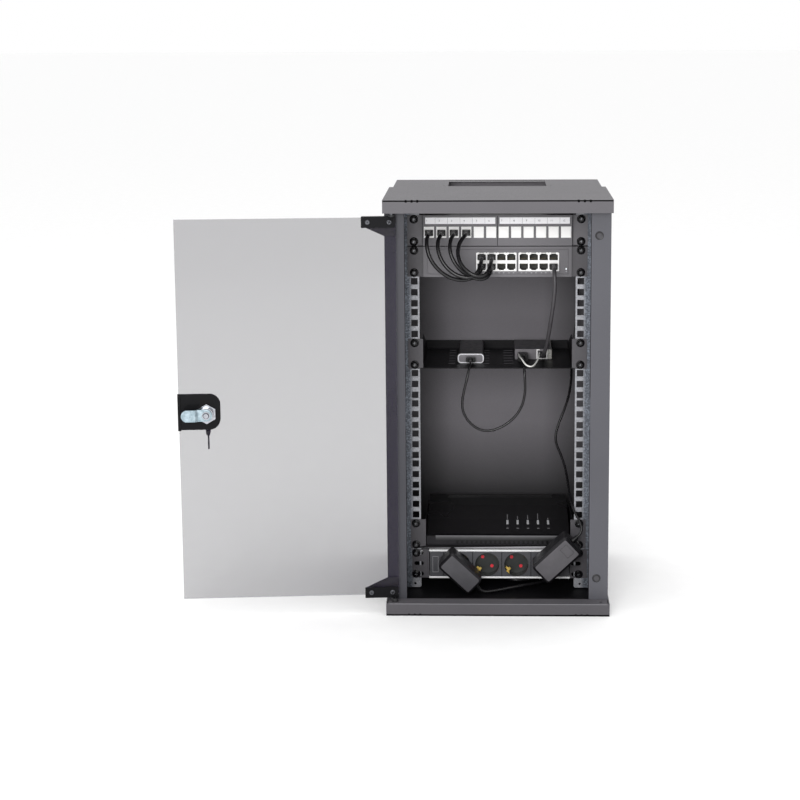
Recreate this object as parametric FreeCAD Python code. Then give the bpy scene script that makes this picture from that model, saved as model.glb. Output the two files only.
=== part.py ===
import FreeCAD, Part
import os, math

# 10-inch wall cabinet, twelve units high, glass door standing open, fitted out
# with a patch panel, a switch, two shelves with small devices and a socket strip.
# X to the right, Y into the cabinet towards the wall, Z up.
# Origin: centre of the base's underside.

V = FreeCAD.Vector
os.makedirs("parts", exist_ok=True)

# ---------------------------------------------------------------- dimensions
W, D, H = 312.0, 300.0, 584.0       # over the covers
T = 1.2                             # sheet
YF, YB = -150.0, 150.0              # lip plane, wall plane
LIP = 18.0                          # height of the front lips
RET_Y = -128.0                      # back edge of the lips' return flanges
STEP_Y = 29.0                       # where the shell steps in
HW_F, HW_R = 156.0, 151.0           # half widths of the covers, front and rear
SIDE_F, SIDE_R = 154.5, 149.6       # outer faces of the side panels
POST_Y = -130.0                     # front face of the posts
POST_X = 127.8                      # inner edge of the posts
SLOT_X, SLOT_Y0, SLOT_Y1 = 71.5, 52.0, 136.0   # cable entries
U = 44.45                           # one rack unit
Z0 = 17.4                           # underside of the lowest unit
RAIL_Y = -32.0                      # front face of the rack rails
RAIL_T = 1.5
RAIL_IN, RAIL_OUT = 111.1, 153.3
HOLE_X = 118.26                     # rack holes, 236.52 apart
SQ = 9.5                            # square holes
EAR_T = 1.6
HX, HY = -144.0, -141.0             # door hinge axis
OPEN_TILT = 4.8                     # door short of the straight-open position
GZ0, GZ1 = 27.5, 559.5              # glass
GY0, GY1 = -148.5, -144.5
LOCK_X, LOCK_Z = 111.8, 292.0       # lock axis, door closed
PIN_R, PIN_HOLE_R = 2.5, 2.56
CORE_R, CORE_BORE = 6.0, 6.05

nodes = {}

def add(name, *shapes):
    nodes.setdefault(name, []).extend(shapes)

def box(x0, x1, y0, y1, z0, z1):
    return Part.makeBox(x1 - x0, y1 - y0, z1 - z0, V(x0, y0, z0))

def cyl(p, d, r, h):
    return Part.makeCylinder(r, h, V(*p), V(*d))

def cone(p, d, r1, r2, h):
    return Part.makeCone(r1, r2, h, V(*p), V(*d))

def fuse(*s):
    out = s[0]
    for k in s[1:]:
        out = out.fuse(k)
    return out.removeSplitter()

def cut(s, *t):
    for k in t:
        s = s.cut(k)
    return s

def mirror_x(s, about=0.0):
    return s.mirror(V(about, 0, 0), V(1, 0, 0))

def mirror_z(s):
    return s.mirror(V(0, 0, H / 2), V(0, 0, 1))

def prism(pts, axis, a, b):
    # polygon in the two axes that are not `axis`, pushed from a to b
    def p3(u, v, w):
        return {"x": V(w, u, v), "y": V(u, w, v), "z": V(u, v, w)}[axis]
    f = Part.Face(Part.makePolygon([p3(u, v, a) for u, v in pts] + [p3(*pts[0], a)]))
    d = {"x": V(b - a, 0, 0), "y": V(0, b - a, 0), "z": V(0, 0, b - a)}[axis]
    return f.extrude(d)

def filletv(s, r, test):
    es = [e for e in s.Edges if test(e)]
    return s.makeFillet(r, es) if es else s

def uz(n):
    # underside of unit n, counted from the top
    return Z0 + (12 - n) * U

# ---------------------------------------------------------------- shell
def cover(st):
    # a tray with front lip and skirts; st lowers its rear part. The top cover is the mirror image.
    s = fuse(
        box(-HW_F, HW_F, YF, STEP_Y, 0, T),
        box(-HW_R, HW_R, STEP_Y - T, YB, st, st + T),
        box(-HW_F, HW_F, STEP_Y - T, STEP_Y, 0, T),
        box(-HW_F, HW_F, YF, YF + T, 0, LIP),
        box(-153.1, 153.1, YF, RET_Y, LIP - T, LIP),
        box(-HW_F, -HW_F + T, YF, STEP_Y, 0, LIP),
        box(HW_F - T, HW_F, YF, STEP_Y, 0, LIP),
        box(-HW_R, -HW_R + T, STEP_Y - T, YB, st, 13.0),
        box(HW_R - T, HW_R, STEP_Y - T, YB, st, 13.0),
    )
    # front corner relief where the lip meets the skirt, cable entry, its cover's holes
    s = cut(s, box(-SLOT_X, SLOT_X, SLOT_Y0, SLOT_Y1, -1, 5))
    for x in (-78.0, 78.0):
        s = s.cut(cyl((x, 64.0, -1), (0, 0, 1), 1.6, 6))
    # three vent slots in the bend at each end of the lip
    for x in (-124.0, -116.0, -108.5, 108.9, 117.0, 125.0):
        s = s.cut(box(x - 1.4, x + 1.4, YF - 1, YF + 4.0, -1, 3.2))
    # hinge pin holes, on both sides so that the door can be hung either way
    for x in (HX, -HX):
        s = s.cut(cyl((x, HY, 10), (0, 0, 1), PIN_HOLE_R, 12))
    # screw holes in the skirts
    for sx in (-1, 1):
        for y in (-110.0, 18.0):
            s = s.cut(cyl((sx * 160, y, 9.5), (-sx, 0, 0), 2.1, 10))
            s = s.cut(cone((sx * (HW_F + 0.01), y, 9.5), (-sx, 0, 0), 3.6, 2.1, T + 0.01))
    return s

add("base_cover", cover(0.0))
add("top_cover", mirror_z(cover(T)))

def side(sx):
    s = fuse(
        box(SIDE_F - T, SIDE_F, POST_Y, STEP_Y - 2 * T - 0.2, 1.4, H - 1.4),
        box(SIDE_R - T, SIDE_F, STEP_Y - 3 * T - 0.2, STEP_Y - 2 * T - 0.2, 2.6, H - 2.6),
        box(SIDE_R - T, SIDE_R, STEP_Y - 3 * T - 0.2, YB, 2.6, H - 2.6),
        box(POST_X, SIDE_F, POST_Y, POST_Y + T, LIP + 0.1, H - LIP - 0.1),
        box(POST_X, POST_X + T, POST_Y, POST_Y + 16.0, LIP + 0.1, H - LIP - 0.1),
        # inward flanges that the covers screw down on
        box(SIDE_R - 14.0, SIDE_R, STEP_Y + 3, YB - 3, 2.6, 2.6 + T),
        box(SIDE_R - 14.0, SIDE_R, STEP_Y + 3, YB - 3, H - 2.6 - T, H - 2.6),
    )
    # notch in the post's return flange for the lock cam
    s = s.cut(box(POST_X - 1, POST_X + 4, POST_Y + T + 0.01, POST_Y + 20, LOCK_Z - 33, LOCK_Z + 14))
    # bumper holes, cover screws, rail screws, rear panel screws
    for z in (49.0, 533.0):
        s = s.cut(cyl((138.3, POST_Y - 1, z), (0, 1, 0), 2.6, 4))
    for y in (-110.0, 18.0):
        for z in (9.5, H - 9.5):
            s = s.cut(cyl((150, y, z), (1, 0, 0), 1.95, 6))
    for z in (60.0, 292.0, 524.0):
        s = s.cut(cyl((150, -12.0, z), (1, 0, 0), 2.05, 6))
    for z in (40.0, 292.0, 544.0):
        s = s.cut(cyl((145, 141.5, z), (1, 0, 0), 2.05, 6))
    return s if sx > 0 else mirror_x(s)

add("right_side_panel", side(1))
add("left_side_panel", side(-1))

def rear():
    x = SIDE_R - T - 0.15
    s = fuse(
        box(-x, x, YB - T, YB, 4.0, H - 4.0),
        box(-x, -x + T, YB - 16.0, YB, 4.0, H - 4.0),
        box(x - T, x, YB - 16.0, YB, 4.0, H - 4.0),
    )
    for sx in (-1, 1):
        for z in (40.0, 292.0, 544.0):
            s = s.cut(cyl((sx * 140, 141.5, z), (sx, 0, 0), 1.95, 12))
        for z in (62.0, 522.0):
            s = s.cut(cyl((sx * 95.0, YB - 5, z), (0, 1, 0), 4.25, 8))
    s = s.cut(cyl((138.0, YB - 5, 100.0), (0, 1, 0), 3.05, 8))
    return s

add("rear_panel", rear())

def cs_screw(p, d, L, r=1.9, rh=3.5):
    # countersunk, cross recess
    s = fuse(cone(p, d, rh, 2.0, T), cyl(p, d, r, L))
    q = V(*p); n = V(*d)
    if abs(n.x) > 0.5:
        a = box(-0.8, 0.8, -1.9, 1.9, -0.35, 0.35); b = box(-0.8, 0.8, -0.35, 0.35, -1.9, 1.9)
    else:
        a = box(-1.9, 1.9, -0.8, 0.8, -0.35, 0.35); b = box(-0.35, 0.35, -0.8, 0.8, -1.9, 1.9)
    a.translate(q); b.translate(q)
    return cut(s, a, b)

def pan_screw(p, d, L, r=1.9, rh=3.5, hh=2.2):
    # head lies before p, shank runs L along d
    q = V(*p); n = V(*d)
    head = Part.makeCone(rh * 0.78, rh, hh * 0.55, q - n * hh, n).fuse(Part.makeCylinder(rh, hh * 0.45, q - n * hh * 0.45, n))
    s = head.fuse(Part.makeCylinder(r, L, q, n)).removeSplitter()
    k = hh * 0.55
    if abs(n.x) > 0.5:
        a = box(-k, k, -rh * .5, rh * .5, -rh * .09, rh * .09); b = box(-k, k, -rh * .09, rh * .09, -rh * .5, rh * .5)
    elif abs(n.y) > 0.5:
        a = box(-rh * .5, rh * .5, -k, k, -rh * .09, rh * .09); b = box(-rh * .09, rh * .09, -k, k, -rh * .5, rh * .5)
    else:
        a = box(-rh * .5, rh * .5, -rh * .09, rh * .09, -k, k); b = box(-rh * .09, rh * .09, -rh * .5, rh * .5, -k, k)
    a.translate(q - n * hh); b.translate(q - n * hh)
    return cut(s, a, b)

for sx in (-1, 1):
    for y in (-110.0, 18.0):
        for z in (9.5, H - 9.5):
            add("panel_screws", cs_screw((sx * HW_F, y, z), (-sx, 0, 0), 6.0))
    for z in (40.0, 292.0, 544.0):
        add("panel_screws", pan_screw((sx * SIDE_R, 141.5, z), (-sx, 0, 0), 6.0, hh=1.3))

# ---------------------------------------------------------------- rack rails
def rail(sx):
    s = fuse(
        box(RAIL_IN, RAIL_OUT, RAIL_Y, RAIL_Y + RAIL_T, 3.0, H - 5.0),
        box(RAIL_OUT - RAIL_T, RAIL_OUT, RAIL_Y, 8.0, 3.0, H - 5.0),
    )
    s = filletv(s, 3.0, lambda e: abs(e.BoundBox.XMin - RAIL_IN) < .01 and abs(e.BoundBox.XMax - RAIL_IN) < .01
                and e.BoundBox.YLength > 1 and e.BoundBox.ZLength < .01)
    for n in range(12):
        for dz in (6.35, 22.225, 38.1):
            z = Z0 + n * U + dz
            s = s.cut(box(HOLE_X - SQ / 2, HOLE_X + SQ / 2, RAIL_Y - 1, RAIL_Y + 3, z - SQ / 2, z + SQ / 2))
    for z in (8.5, H - 10.5):
        s = s.cut(cyl((119.9, RAIL_Y - 1, z), (0, 1, 0), 1.8, 4))
    for z in (60.0, 292.0, 524.0):
        s = s.cut(cyl((145, -12.0, z), (1, 0, 0), 2.05, 10))
    return s if sx > 0 else mirror_x(s)

add("right_rack_rail", rail(1))
add("left_rack_rail", rail(-1))
for sx in (-1, 1):
    for z in (60.0, 292.0, 524.0):
        add("panel_screws", pan_screw((sx * (RAIL_OUT - RAIL_T), -12.0, z), (sx, 0, 0), 2.7, r=1.98, rh=3.6))

for sx in (-1, 1):
    for z in (49.0, 533.0):
        b = fuse(cyl((sx * 138.3, POST_Y - 0.35, z), (0, 1, 0), 4.0, 0.35),
                 cone((sx * 138.3, POST_Y - 0.6, z), (0, 1, 0), 3.3, 4.0, 0.25),
                 cyl((sx * 138.3, POST_Y, z), (0, 1, 0), 2.55, 2.4))
        add("door_bumpers", b)

# earth stud on the rear panel, low on the right, with its nut and washer
add("earth_stud", fuse(cyl((138.0, YB, 100.0), (0, -1, 0), 3.0, 20.0)))
stud_nut = prism([(138 + 5.77 * math.cos(math.radians(60 * i)), 100 + 5.77 * math.sin(math.radians(60 * i))) for i in range(6)],
                 "y", YB - T - 5.0, YB - T)
add("earth_stud", stud_nut.cut(cyl((138.0, YB - 10, 100.0), (0, 1, 0), 3.0, 12)))

# ---------------------------------------------------------------- door
# built closed, then swung open about the hinge axis
def to_open(s):
    s = s.copy()
    s.rotate(V(HX, HY, 0), V(0, 0, 1), 180.0 + OPEN_TILT)
    return s

door = {}
def dadd(name, *s):
    door.setdefault(name, []).extend(s)

glass = box(-150, 150, GY0, GY1, GZ0, GZ1)
glass = glass.cut(cyl((LOCK_X, GY0 - 1, LOCK_Z), (0, 1, 0), 10.5, 6))
dadd("door_glass", glass)

def clamp_upper():
    poly = [(-104.0, 560.8), (-104.0, 547.5), (-135.5, 532.7), (-149.3, 532.7), (-149.3, 560.8)]
    front = prism(poly, "y", -149.9, GY0 - 0.4)
    back = box(-149.3, -102.6, GY1 + 0.4, -142.8, 545.6, 560.8)
    web = box(-149.3, -103.3, -149.9, -142.8, 559.7, 560.9)
    tab = cyl((HX, HY, 559.7), (0, 0, 1), 4.4, 1.2).fuse(box(HX - 4.4, HX + 4.4, -143.5, HY, 559.7, 560.9))
    s = fuse(front, back, web, tab)
    s = s.cut(cyl((HX, HY, 555), (0, 0, 1), PIN_R, 8))
    for x in (-111.4, -140.9):
        s = s.cut(cyl((x, -147, 553.2), (0, 1, 0), 2.0, 6))
    return s

dadd("upper_hinge_bracket", clamp_upper())
dadd("lower_hinge_bracket", mirror_z(clamp_upper()))
for up in (True, False):
    f = (lambda s: s) if up else mirror_z
    for x in (-111.4, -140.9):
        dadd("hinge_clamp_screws", f(pan_screw((x, -142.8, 553.2), (0, -1, 0), 1.2, r=2.0, rh=3.35, hh=1.4)))
    dadd("hinge_pads_and_washers", f(box(-149.0, -103.0, GY1, GY1 + 0.4, 546.0, 559.6)),
         f(prism([(-104.3, 559.6), (-104.3, 547.8), (-135.6, 533.1), (-149.0, 533.1), (-149.0, 559.6)], "y", GY0 - 0.4, GY0)))
    pin = fuse(cyl((HX, HY, 559.7), (0, 0, 1), PIN_R, 9.0), cone((HX, HY, 568.7), (0, 0, 1), PIN_R, 1.7, 0.8))
    dadd("hinge_pins", f(pin))
    wz = 2.2 if up else 5.05
    w = cyl((HX, HY, 560.9), (0, 0, 1), 4.6, wz).cut(cyl((HX, HY, 560), (0, 0, 1), PIN_R, 8))
    dadd("hinge_pads_and_washers", f(w))

# lock: clamp bracket round the free edge, barrel, nut, rotor, cam, screw, keys
lp = box(93.4, 151.4, GY1, GY1 + 1.2, 269.0, 318.5)
lp = filletv(lp, 15.0, lambda e: abs(e.BoundBox.XMax - 93.4) < .01 and abs(e.BoundBox.YLength - 1.2) < .01 and e.BoundBox.ZLength < .01)
lo = box(93.4, 151.4, GY0 - 1.2, GY0, 269.0, 318.5)
lo = filletv(lo, 15.0, lambda e: abs(e.BoundBox.XMax - 93.4) < .01 and abs(e.BoundBox.YLength - 1.2) < .01 and e.BoundBox.ZLength < .01)
web = box(150.1, 151.4, GY0 - 1.2, GY1 + 1.2, 269.0, 318.5)
ridge = box(147.2, 151.4, GY1, GY1 + 2.0, 267.8, 319.7)
lb = fuse(lp, lo, web, ridge)
lb = lb.cut(cyl((LOCK_X, -152, LOCK_Z), (0, 1, 0), 9.55, 12))
slot = fuse(box(118.0, 133.4, GY1 + 0.4, GY1 + 2, LOCK_Z - 7.5, LOCK_Z + 12.5),
            cyl((133.4, GY1 + 0.4, LOCK_Z + 2.5), (0, 1, 0), 10.0, 2))
slot = slot.cut(cyl((LOCK_X, -152, LOCK_Z), (0, 1, 0), 15.5, 12))
lb = lb.cut(slot)
dadd("lock_bracket", lb)
barrel = fuse(cyl((LOCK_X, -149.7, LOCK_Z), (0, 1, 0), 9.5, 18.6),
              cyl((LOCK_X, -151.9, LOCK_Z), (0, 1, 0), 11.5, 2.2),
              cone((LOCK_X, -152.7, LOCK_Z), (0, 1, 0), 10.7, 11.5, 0.8))
barrel = barrel.cut(cyl((LOCK_X, -154, LOCK_Z), (0, 1, 0), CORE_BORE, 30))
dadd("lock_barrel", barrel)
nut = prism([(LOCK_X + 13.9 * math.cos(math.radians(60 * i + 30)), LOCK_Z + 13.9 * math.sin(math.radians(60 * i + 30))) for i in range(6)],
            "y", -143.3, -138.3)
dadd("lock_nut", nut.cut(cyl((LOCK_X, -150, LOCK_Z), (0, 1, 0), 9.5, 20)))
# rotor with key slot and square tang
rotor = fuse(cyl((LOCK_X, -152.6, LOCK_Z), (0, 1, 0), CORE_R, 21.7),
             box(LOCK_X - 3.4, LOCK_X + 3.4, -131.0, -128.5, LOCK_Z - 3.4, LOCK_Z + 3.4))
rotor = rotor.cut(box(LOCK_X - 1.1, LOCK_X + 1.1, -153, -139.9, LOCK_Z - 3.4, LOCK_Z + 3.4))
rotor = rotor.cut(cyl((LOCK_X, -136, LOCK_Z), (0, 1, 0), 2.0, 9))
dadd("lock_rotor", rotor)
# cranked cam, pointing at the post
cw = 8.2
prof = [(-8.4, -130.8), (12.2, -130.8), (15.6, -127.7), (34.0, -127.7), (34.0, -125.5), (14.8, -125.5), (11.4, -128.6), (-8.4, -128.6)]
cam = prism([(LOCK_X + a, b) for a, b in prof], "z", LOCK_Z - cw, LOCK_Z + cw)
env = fuse(cyl((LOCK_X, -132, LOCK_Z), (0, 1, 0), cw, 8), box(LOCK_X, LOCK_X + 28.5, -132, -124, LOCK_Z - cw, LOCK_Z + cw),
           cyl((LOCK_X + 25.8, -132, LOCK_Z), (0, 1, 0), cw, 8))
cam = cam.common(env)
cam = cam.cut(box(LOCK_X - 3.4, LOCK_X + 3.4, -132, -127, LOCK_Z - 3.4, LOCK_Z + 3.4))
dadd("lock_cam", cam)
cs = fuse(cyl((LOCK_X, -128.5, LOCK_Z), (0, 1, 0), 5.6, 0.8), cone((LOCK_X, -127.7, LOCK_Z), (0, 1, 0), 4.4, 3.2, 2.4),
          cyl((LOCK_X, -128.5, LOCK_Z), (0, -1, 0), 1.98, 7))
dadd("cam_screw", cs)

def key(a_eye):
    # key along -Y, blade tip at y=0 side; local: length along a (0 tip), width along b, thickness along c
    # returned with length on Z downwards from the eye centre at the origin, thickness on X, width on Y
    eye = cut(fuse(cyl((-1, 0, 0), (1, 0, 0), 6.2, 2.0), box(-1, 1, -6.2, 6.2, -7.0, 0)), cyl((-2, 0, 0), (1, 0, 0), 3.2, 4))
    grip = prism([(-7.5, -3.7), (7.5, -3.7), (8.5, -5.5), (8.5, -10.0), (4.0, -13.0), (-4.0, -13.0), (-8.5, -10.0), (-8.5, -5.5)], "x", -3.3, 3.3)
    blade = prism([(-3.2, -12.5), (3.2, -12.5), (3.2, -36.5), (1.0, -39.4), (-3.2, -39.4)], "x", -1.0, 1.0)
    return fuse(eye, grip, blade)

BAR = 4.7                     # eye bar centre from the eye's centre
RING_R, WIRE = 6.0, 0.7
EYE_Y = -152.9 - 13.0 - 0.0   # eye centre of the inserted key, outside the door
k = key(0)
k.rotate(V(0, 0, 0), V(1, 0, 0), 90.0)        # -Z turns to +Y
k.translate(V(LOCK_X, EYE_Y, LOCK_Z))
trim = box(LOCK_X - 5, LOCK_X + 5, -139.95, -100, LOCK_Z - 10, LOCK_Z + 10)
dadd("lock_key", k.cut(trim))
ring_c = LOCK_Z - BAR - 3.3
ring = Part.makeTorus(RING_R, WIRE, V(LOCK_X, EYE_Y, ring_c), V(0, 1, 0))
dadd("key_ring", ring)
k2 = key(0)
k2.translate(V(LOCK_X, EYE_Y, ring_c - RING_R + WIRE + 0.2 - 3.2))
dadd("spare_key", k2)

for n, ss in door.items():
    add(n, *[to_open(s) for s in ss])

# ---------------------------------------------------------------- rack screws, washers, cage nuts
screw_pts = []
for n in (1, 2, 5, 11, 12):
    for dz in (6.35, 38.1):
        for sx in (-1, 1):
            screw_pts.append((sx * HOLE_X, uz(n) + dz))
EAR_Y0 = RAIL_Y - EAR_T
for x, z in screw_pts:
    w = cut(fuse(cone((x, EAR_Y0, z), (0, -1, 0), 6.2, 4.8, 1.0)), cyl((x, EAR_Y0 - 2, z), (0, 1, 0), 3.05, 4))
    add("rack_screws", w)
    y = EAR_Y0 - 1.0
    head = fuse(cyl((x, y, z), (0, -1, 0), 4.6, 1.4), cone((x, y - 1.4, z), (0, -1, 0), 4.6, 3.0, 1.6))
    s = fuse(head, cyl((x, y, z), (0, 1, 0), 2.95, 11.0))
    s = cut(s, box(x - 2.2, x + 2.2, y - 4, y - 1.5, z - .45, z + .45), box(x - .45, x + .45, y - 4, y - 1.5, z - 2.2, z + 2.2))
    add("rack_screws", s)
    nutb = fuse(box(x - 4.6, x + 4.6, RAIL_Y + 0.05, RAIL_Y + RAIL_T, z - 4.6, z + 4.6),
                box(x - 5.0, x + 5.0, RAIL_Y + RAIL_T, RAIL_Y + RAIL_T + 4.0, z - 6.2, z + 6.2))
    add("cage_nuts", nutb.cut(cyl((x, RAIL_Y - 1, z), (0, 1, 0), 3.0, 10)))

def ear(x0, x1, z0, z1, n, slot=0.0, y1=RAIL_Y, y0=EAR_Y0):
    # flat ear with its two screw holes; slot widens them towards the middle
    s = box(x0, x1, y0, y1, z0, z1)
    sx = 1 if x0 > 0 else -1
    for dz in (6.35, 38.1):
        z = uz(n) + dz
        s = s.cut(cyl((sx * HOLE_X, y0 - 1, z), (0, 1, 0), 3.3, 4))
        if slot:
            a, b = sorted((sx * HOLE_X, sx * (HOLE_X - slot)))
            s = s.cut(box(a, b, y0 - 1, y1 + 1, z - 3.3, z + 3.3))
            s = s.cut(cyl((sx * (HOLE_X - slot), y0 - 1, z), (0, 1, 0), 3.3, 4))
    return s

# ---------------------------------------------------------------- unit 1: patch panel
P0, P1 = uz(1) + 0.6, uz(1) + 43.9
PX = [-96.8 + 17.6 * i for i in range(12)]
pz = uz(1) + 20.0                                  # port centre height
pf = -37.0                                         # face
body = fuse(box(-105.4, 105.4, pf, pf + 1.4, P0, P1),
            box(-105.4, 105.4, pf, 6.0, P1 - 1.4, P1),
            box(-105.4, 105.4, pf, 6.0, P0, P0 + 1.4),
            box(-105.4, -104.0, pf, RAIL_Y, P0, P1), box(104.0, 105.4, pf, RAIL_Y, P0, P1))
for x in PX:
    body = body.cut(box(x - 7.5, x + 7.5, pf - 1, pf + 3, pz - 8.1, pz + 8.1))
body = fuse(body, ear(-127.5, -104.0, P0, P1, 1), ear(104.0, 127.5, P0, P1, 1))
add("patch_panel", body)
for i, x in enumerate(PX):
    j = box(x - 7.1, x + 7.1, pf - 0.6, -16.0, pz - 7.9, pz + 7.9)
    if i < 4:
        j = j.cut(box(x - 6.0, x + 6.0, pf - 2, -20.0, pz - 5.2, pz + 3.8))
    add("patch_jacks", j)
    if i >= 4:
        add("patch_jacks", box(x - 6.2, x + 6.2, pf - 1.1, pf - 0.6, pz - 6.8, pz + 4.6))
add("patch_labels", box(-102.0, -3.0, pf - 0.5, pf, pz + 11.9, pz + 21.0), box(3.0, 102.0, pf - 0.5, pf, pz + 11.9, pz + 21.0))
add("patch_rear_blocks", box(-101.0, 101.0, -15.9, -14.3, P0 + 3.0, P1 - 3.0))
for x in PX:
    add("patch_rear_blocks", box(x - 7.0, x + 7.0, -14.2, 2.0, pz - 10.0, pz + 10.0))

# ---------------------------------------------------------------- unit 2: switch
S0, S1 = uz(2) + 0.6, uz(2) + 43.9
SWX = [-22.4, -8.4, 5.6, 19.6, 37.3, 51.3, 65.4, 79.4]
SZ = [477.0, 491.2]
sf = -37.0
case = fuse(box(-105.0, 105.0, sf, sf + 1.4, S0, S1), box(-103.0, 103.0, sf, 60.0, S0 + 1.2, S0 + 2.6),
            box(-103.0, 103.0, sf, 60.0, S1 - 2.6, S1 - 1.2), box(-103.0, -101.6, sf, 60.0, S0 + 1.2, S1 - 1.2),
            box(101.6, 103.0, sf, 60.0, S0 + 1.2, S1 - 1.2), box(-103.0, 103.0, 58.6, 60.0, S0 + 1.2, S1 - 1.2))
for a, b in ((-30.2, 27.0), (29.8, 87.2)):
    case = case.cut(box(a - 0.6, b + 0.6, sf - 1, sf + 3, 470.6, 497.2))
case = cut(case, cyl((97.3, sf - 1, 474.0), (0, 1, 0), 1.55, 4), box(84.5, 95.5, 57.0, 62.0, 479.5, 488.5))
add("switch_case", case, cyl((97.3, sf - 0.5, 474.0), (0, 1, 0), 1.5, 3.0))
for sx in (-1, 1):
    a, b = sorted((sx * 103.0, sx * 127.5))
    e = ear(a, b, S0, S1, 2)
    c, d = sorted((sx * 103.0, sx * 104.4))
    add("equipment_ears", e.fuse(box(c, d, sf + 1.4, -10.0, S0, S1)).removeSplitter())
for g, (a, b) in enumerate(((-30.2, 27.0), (29.8, 87.2))):
    xs = SWX[4 * g:4 * g + 4]
    # bars between the ports, each its own block, and the back wall
    zs = ((470.8, 472.3), (481.7, 486.5), (495.9, 497.0))
    for z0, z1 in zs:
        add("switch_jacks", box(a, b, sf - 0.6, -20.0, z0, z1))
    edges = [a] + [(xs[i] + xs[i + 1]) / 2 for i in range(3)] + [b]
    for (z0, z1) in ((472.3, 481.7), (486.5, 495.9)):
        add("switch_jacks", box(a, xs[0] - 5.95, sf - 0.6, -20.0, z0, z1))
        for i in range(3):
            add("switch_jacks", box(xs[i] + 5.95, xs[i + 1] - 5.95, sf - 0.6, -20.0, z0, z1))
        add("switch_jacks", box(xs[3] + 5.95, b, sf - 0.6, -20.0, z0, z1))
    add("switch_jacks", box(a, b, -20.0, -18.5, 470.8, 497.0))

# ---------------------------------------------------------------- plugs and cords
prints = []
def tube(name, pts, d):
    # straight runs joined by tangent arcs; pts in mm
    r = d / 2.0
    P = [V(*p) for p in pts]
    L = [(P[i + 1] - P[i]).Length for i in range(len(P) - 1)]
    edges = []; rads = []
    prev = P[0]; total = 0.0
    for i in range(1, len(P) - 1):
        a = (P[i - 1] - P[i]).normalize(); b = (P[i + 1] - P[i]).normalize()
        turn = math.pi - a.getAngle(b)
        R = 0.45 * min(L[i - 1], L[i]) / math.tan(turn / 2)
        t = R * math.tan(turn / 2)
        s = P[i] + a * t; e = P[i] + b * t
        bis = (a + b).normalize()
        m = P[i] + bis * (R / math.cos(turn / 2) - R)
        edges.append(Part.LineSegment(prev, s).toShape()); total += (s - prev).Length
        edges.append(Part.Arc(s, m, e).toShape()); total += R * turn
        rads.append((round(R, 1), round(math.degrees(turn))))
        prev = e
    edges.append(Part.LineSegment(prev, P[-1]).toShape()); total += (P[-1] - prev).Length
    w = Part.Wire(edges)
    t0 = (P[1] - P[0]).normalize()
    prof = Part.Wire([Part.Circle(P[0], t0, r).toShape()])
    sol = w.makePipeShell([prof], True, False)
    exp = math.pi * r * r * total
    print("cord %s length %.1f mm, radii(mm,deg) %s, volume ratio %.4f, min radius/d %.1f" %
          (name, total, rads, sol.Volume / exp, min(q[0] for q in rads) / d))
    add(name, sol)
    return total

def rj45(c, sgn=1, boot=9.0, tail_r=2.75):
    # plug lying in a port; c = (x, z) of the port, sgn +1 latch below, -1 latch above; front at y0
    x, z = c
    p = box(x - 5.8, x + 5.8, sf - 1.5, -22.0, z - 3.3, z + 3.3)
    la, lb_ = (z - 4.3, z - 3.3) if sgn > 0 else (z + 3.3, z + 4.3)
    latch = box(x - 2.4, x + 2.4, sf - 4.5, -26.0, la, lb_)
    b = fuse(box(x - 5.2, x + 5.2, sf - 5.5, sf - 1.5, z - 3.9, z + 3.9),
             cone((x, sf - 5.5, z), (0, -1, 0), 4.2, tail_r + 0.5, boot))
    return fuse(p, latch, b)

CORD = 5.5
tail = sf - 5.5 - 9.0                      # where each boot ends
patch_z = pz - 0.4
pp = [PX[0], PX[1], PX[2], PX[3]]
sw = [(SWX[0], SZ[0]), (SWX[0], SZ[1]), (SWX[1], SZ[0]), (SWX[1], SZ[1])]
for x in pp:
    add("data_plugs", rj45((x, patch_z), 1))
for x, z in sw + [(SWX[7], SZ[0])]:
    add("data_plugs", rj45((x, z), 1 if z < 480 else -1))

tube("patch_cord_1", [(-96.8, tail, 526.0), (-96.8, -62.0, 526.0), (-98.8, -71.0, 521.7), (-98.7, -77.5, 511.1), (-94.7, -80.7, 496.2),
     (-84.8, -81.2, 480.9), (-69.1, -80.0, 468.5), (-50.9, -78.3, 463.3), (-35.5, -75.1, 466.1), (-26.5, -69.6, 471.7), (-22.4, -62.0, 477.0), (-22.4, tail, 477.0)], CORD)
tube("patch_cord_2", [(-79.2, tail, 526.0), (-79.2, -62.0, 526.0), (-82.7, -70.8, 520.7), (-83.7, -77.7, 510.5), (-80.1, -82.5, 496.7),
     (-71.4, -86.1, 483.3), (-58.5, -89.3, 473.3), (-44.1, -91.1, 469.1), (-33.2, -90.0, 471.1), (-26.5, -84.4, 478.0), (-23.5, -75.0, 485.6), (-22.4, -63.0, 491.2), (-22.4, tail, 491.2)], CORD)
tube("patch_cord_3", [(-61.6, tail, 526.0), (-61.6, -62.0, 526.0), (-65.7, -70.9, 519.9), (-66.9, -78.1, 509.0), (-63.3, -82.6, 495.1),
     (-53.7, -84.0, 480.9), (-39.9, -82.6, 470.0), (-26.0, -80.7, 465.1), (-16.1, -76.8, 466.6), (-10.9, -70.4, 471.8), (-8.4, -62.0, 477.0), (-8.4, tail, 477.0)], CORD)
tube("patch_cord_4", [(-44.0, tail, 526.0), (-44.0, -62.0, 526.0), (-50.7, -70.4, 519.9), (-54.9, -77.0, 510.6), (-55.3, -84.2, 499.2),
     (-50.8, -91.2, 487.9), (-41.6, -97.0, 478.8), (-29.6, -99.8, 472.7), (-18.5, -96.8, 473.0), (-12.1, -88.9, 479.1), (-9.4, -77.0, 486.3), (-8.4, -64.0, 491.2), (-8.4, tail, 491.2)], CORD)

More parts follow.
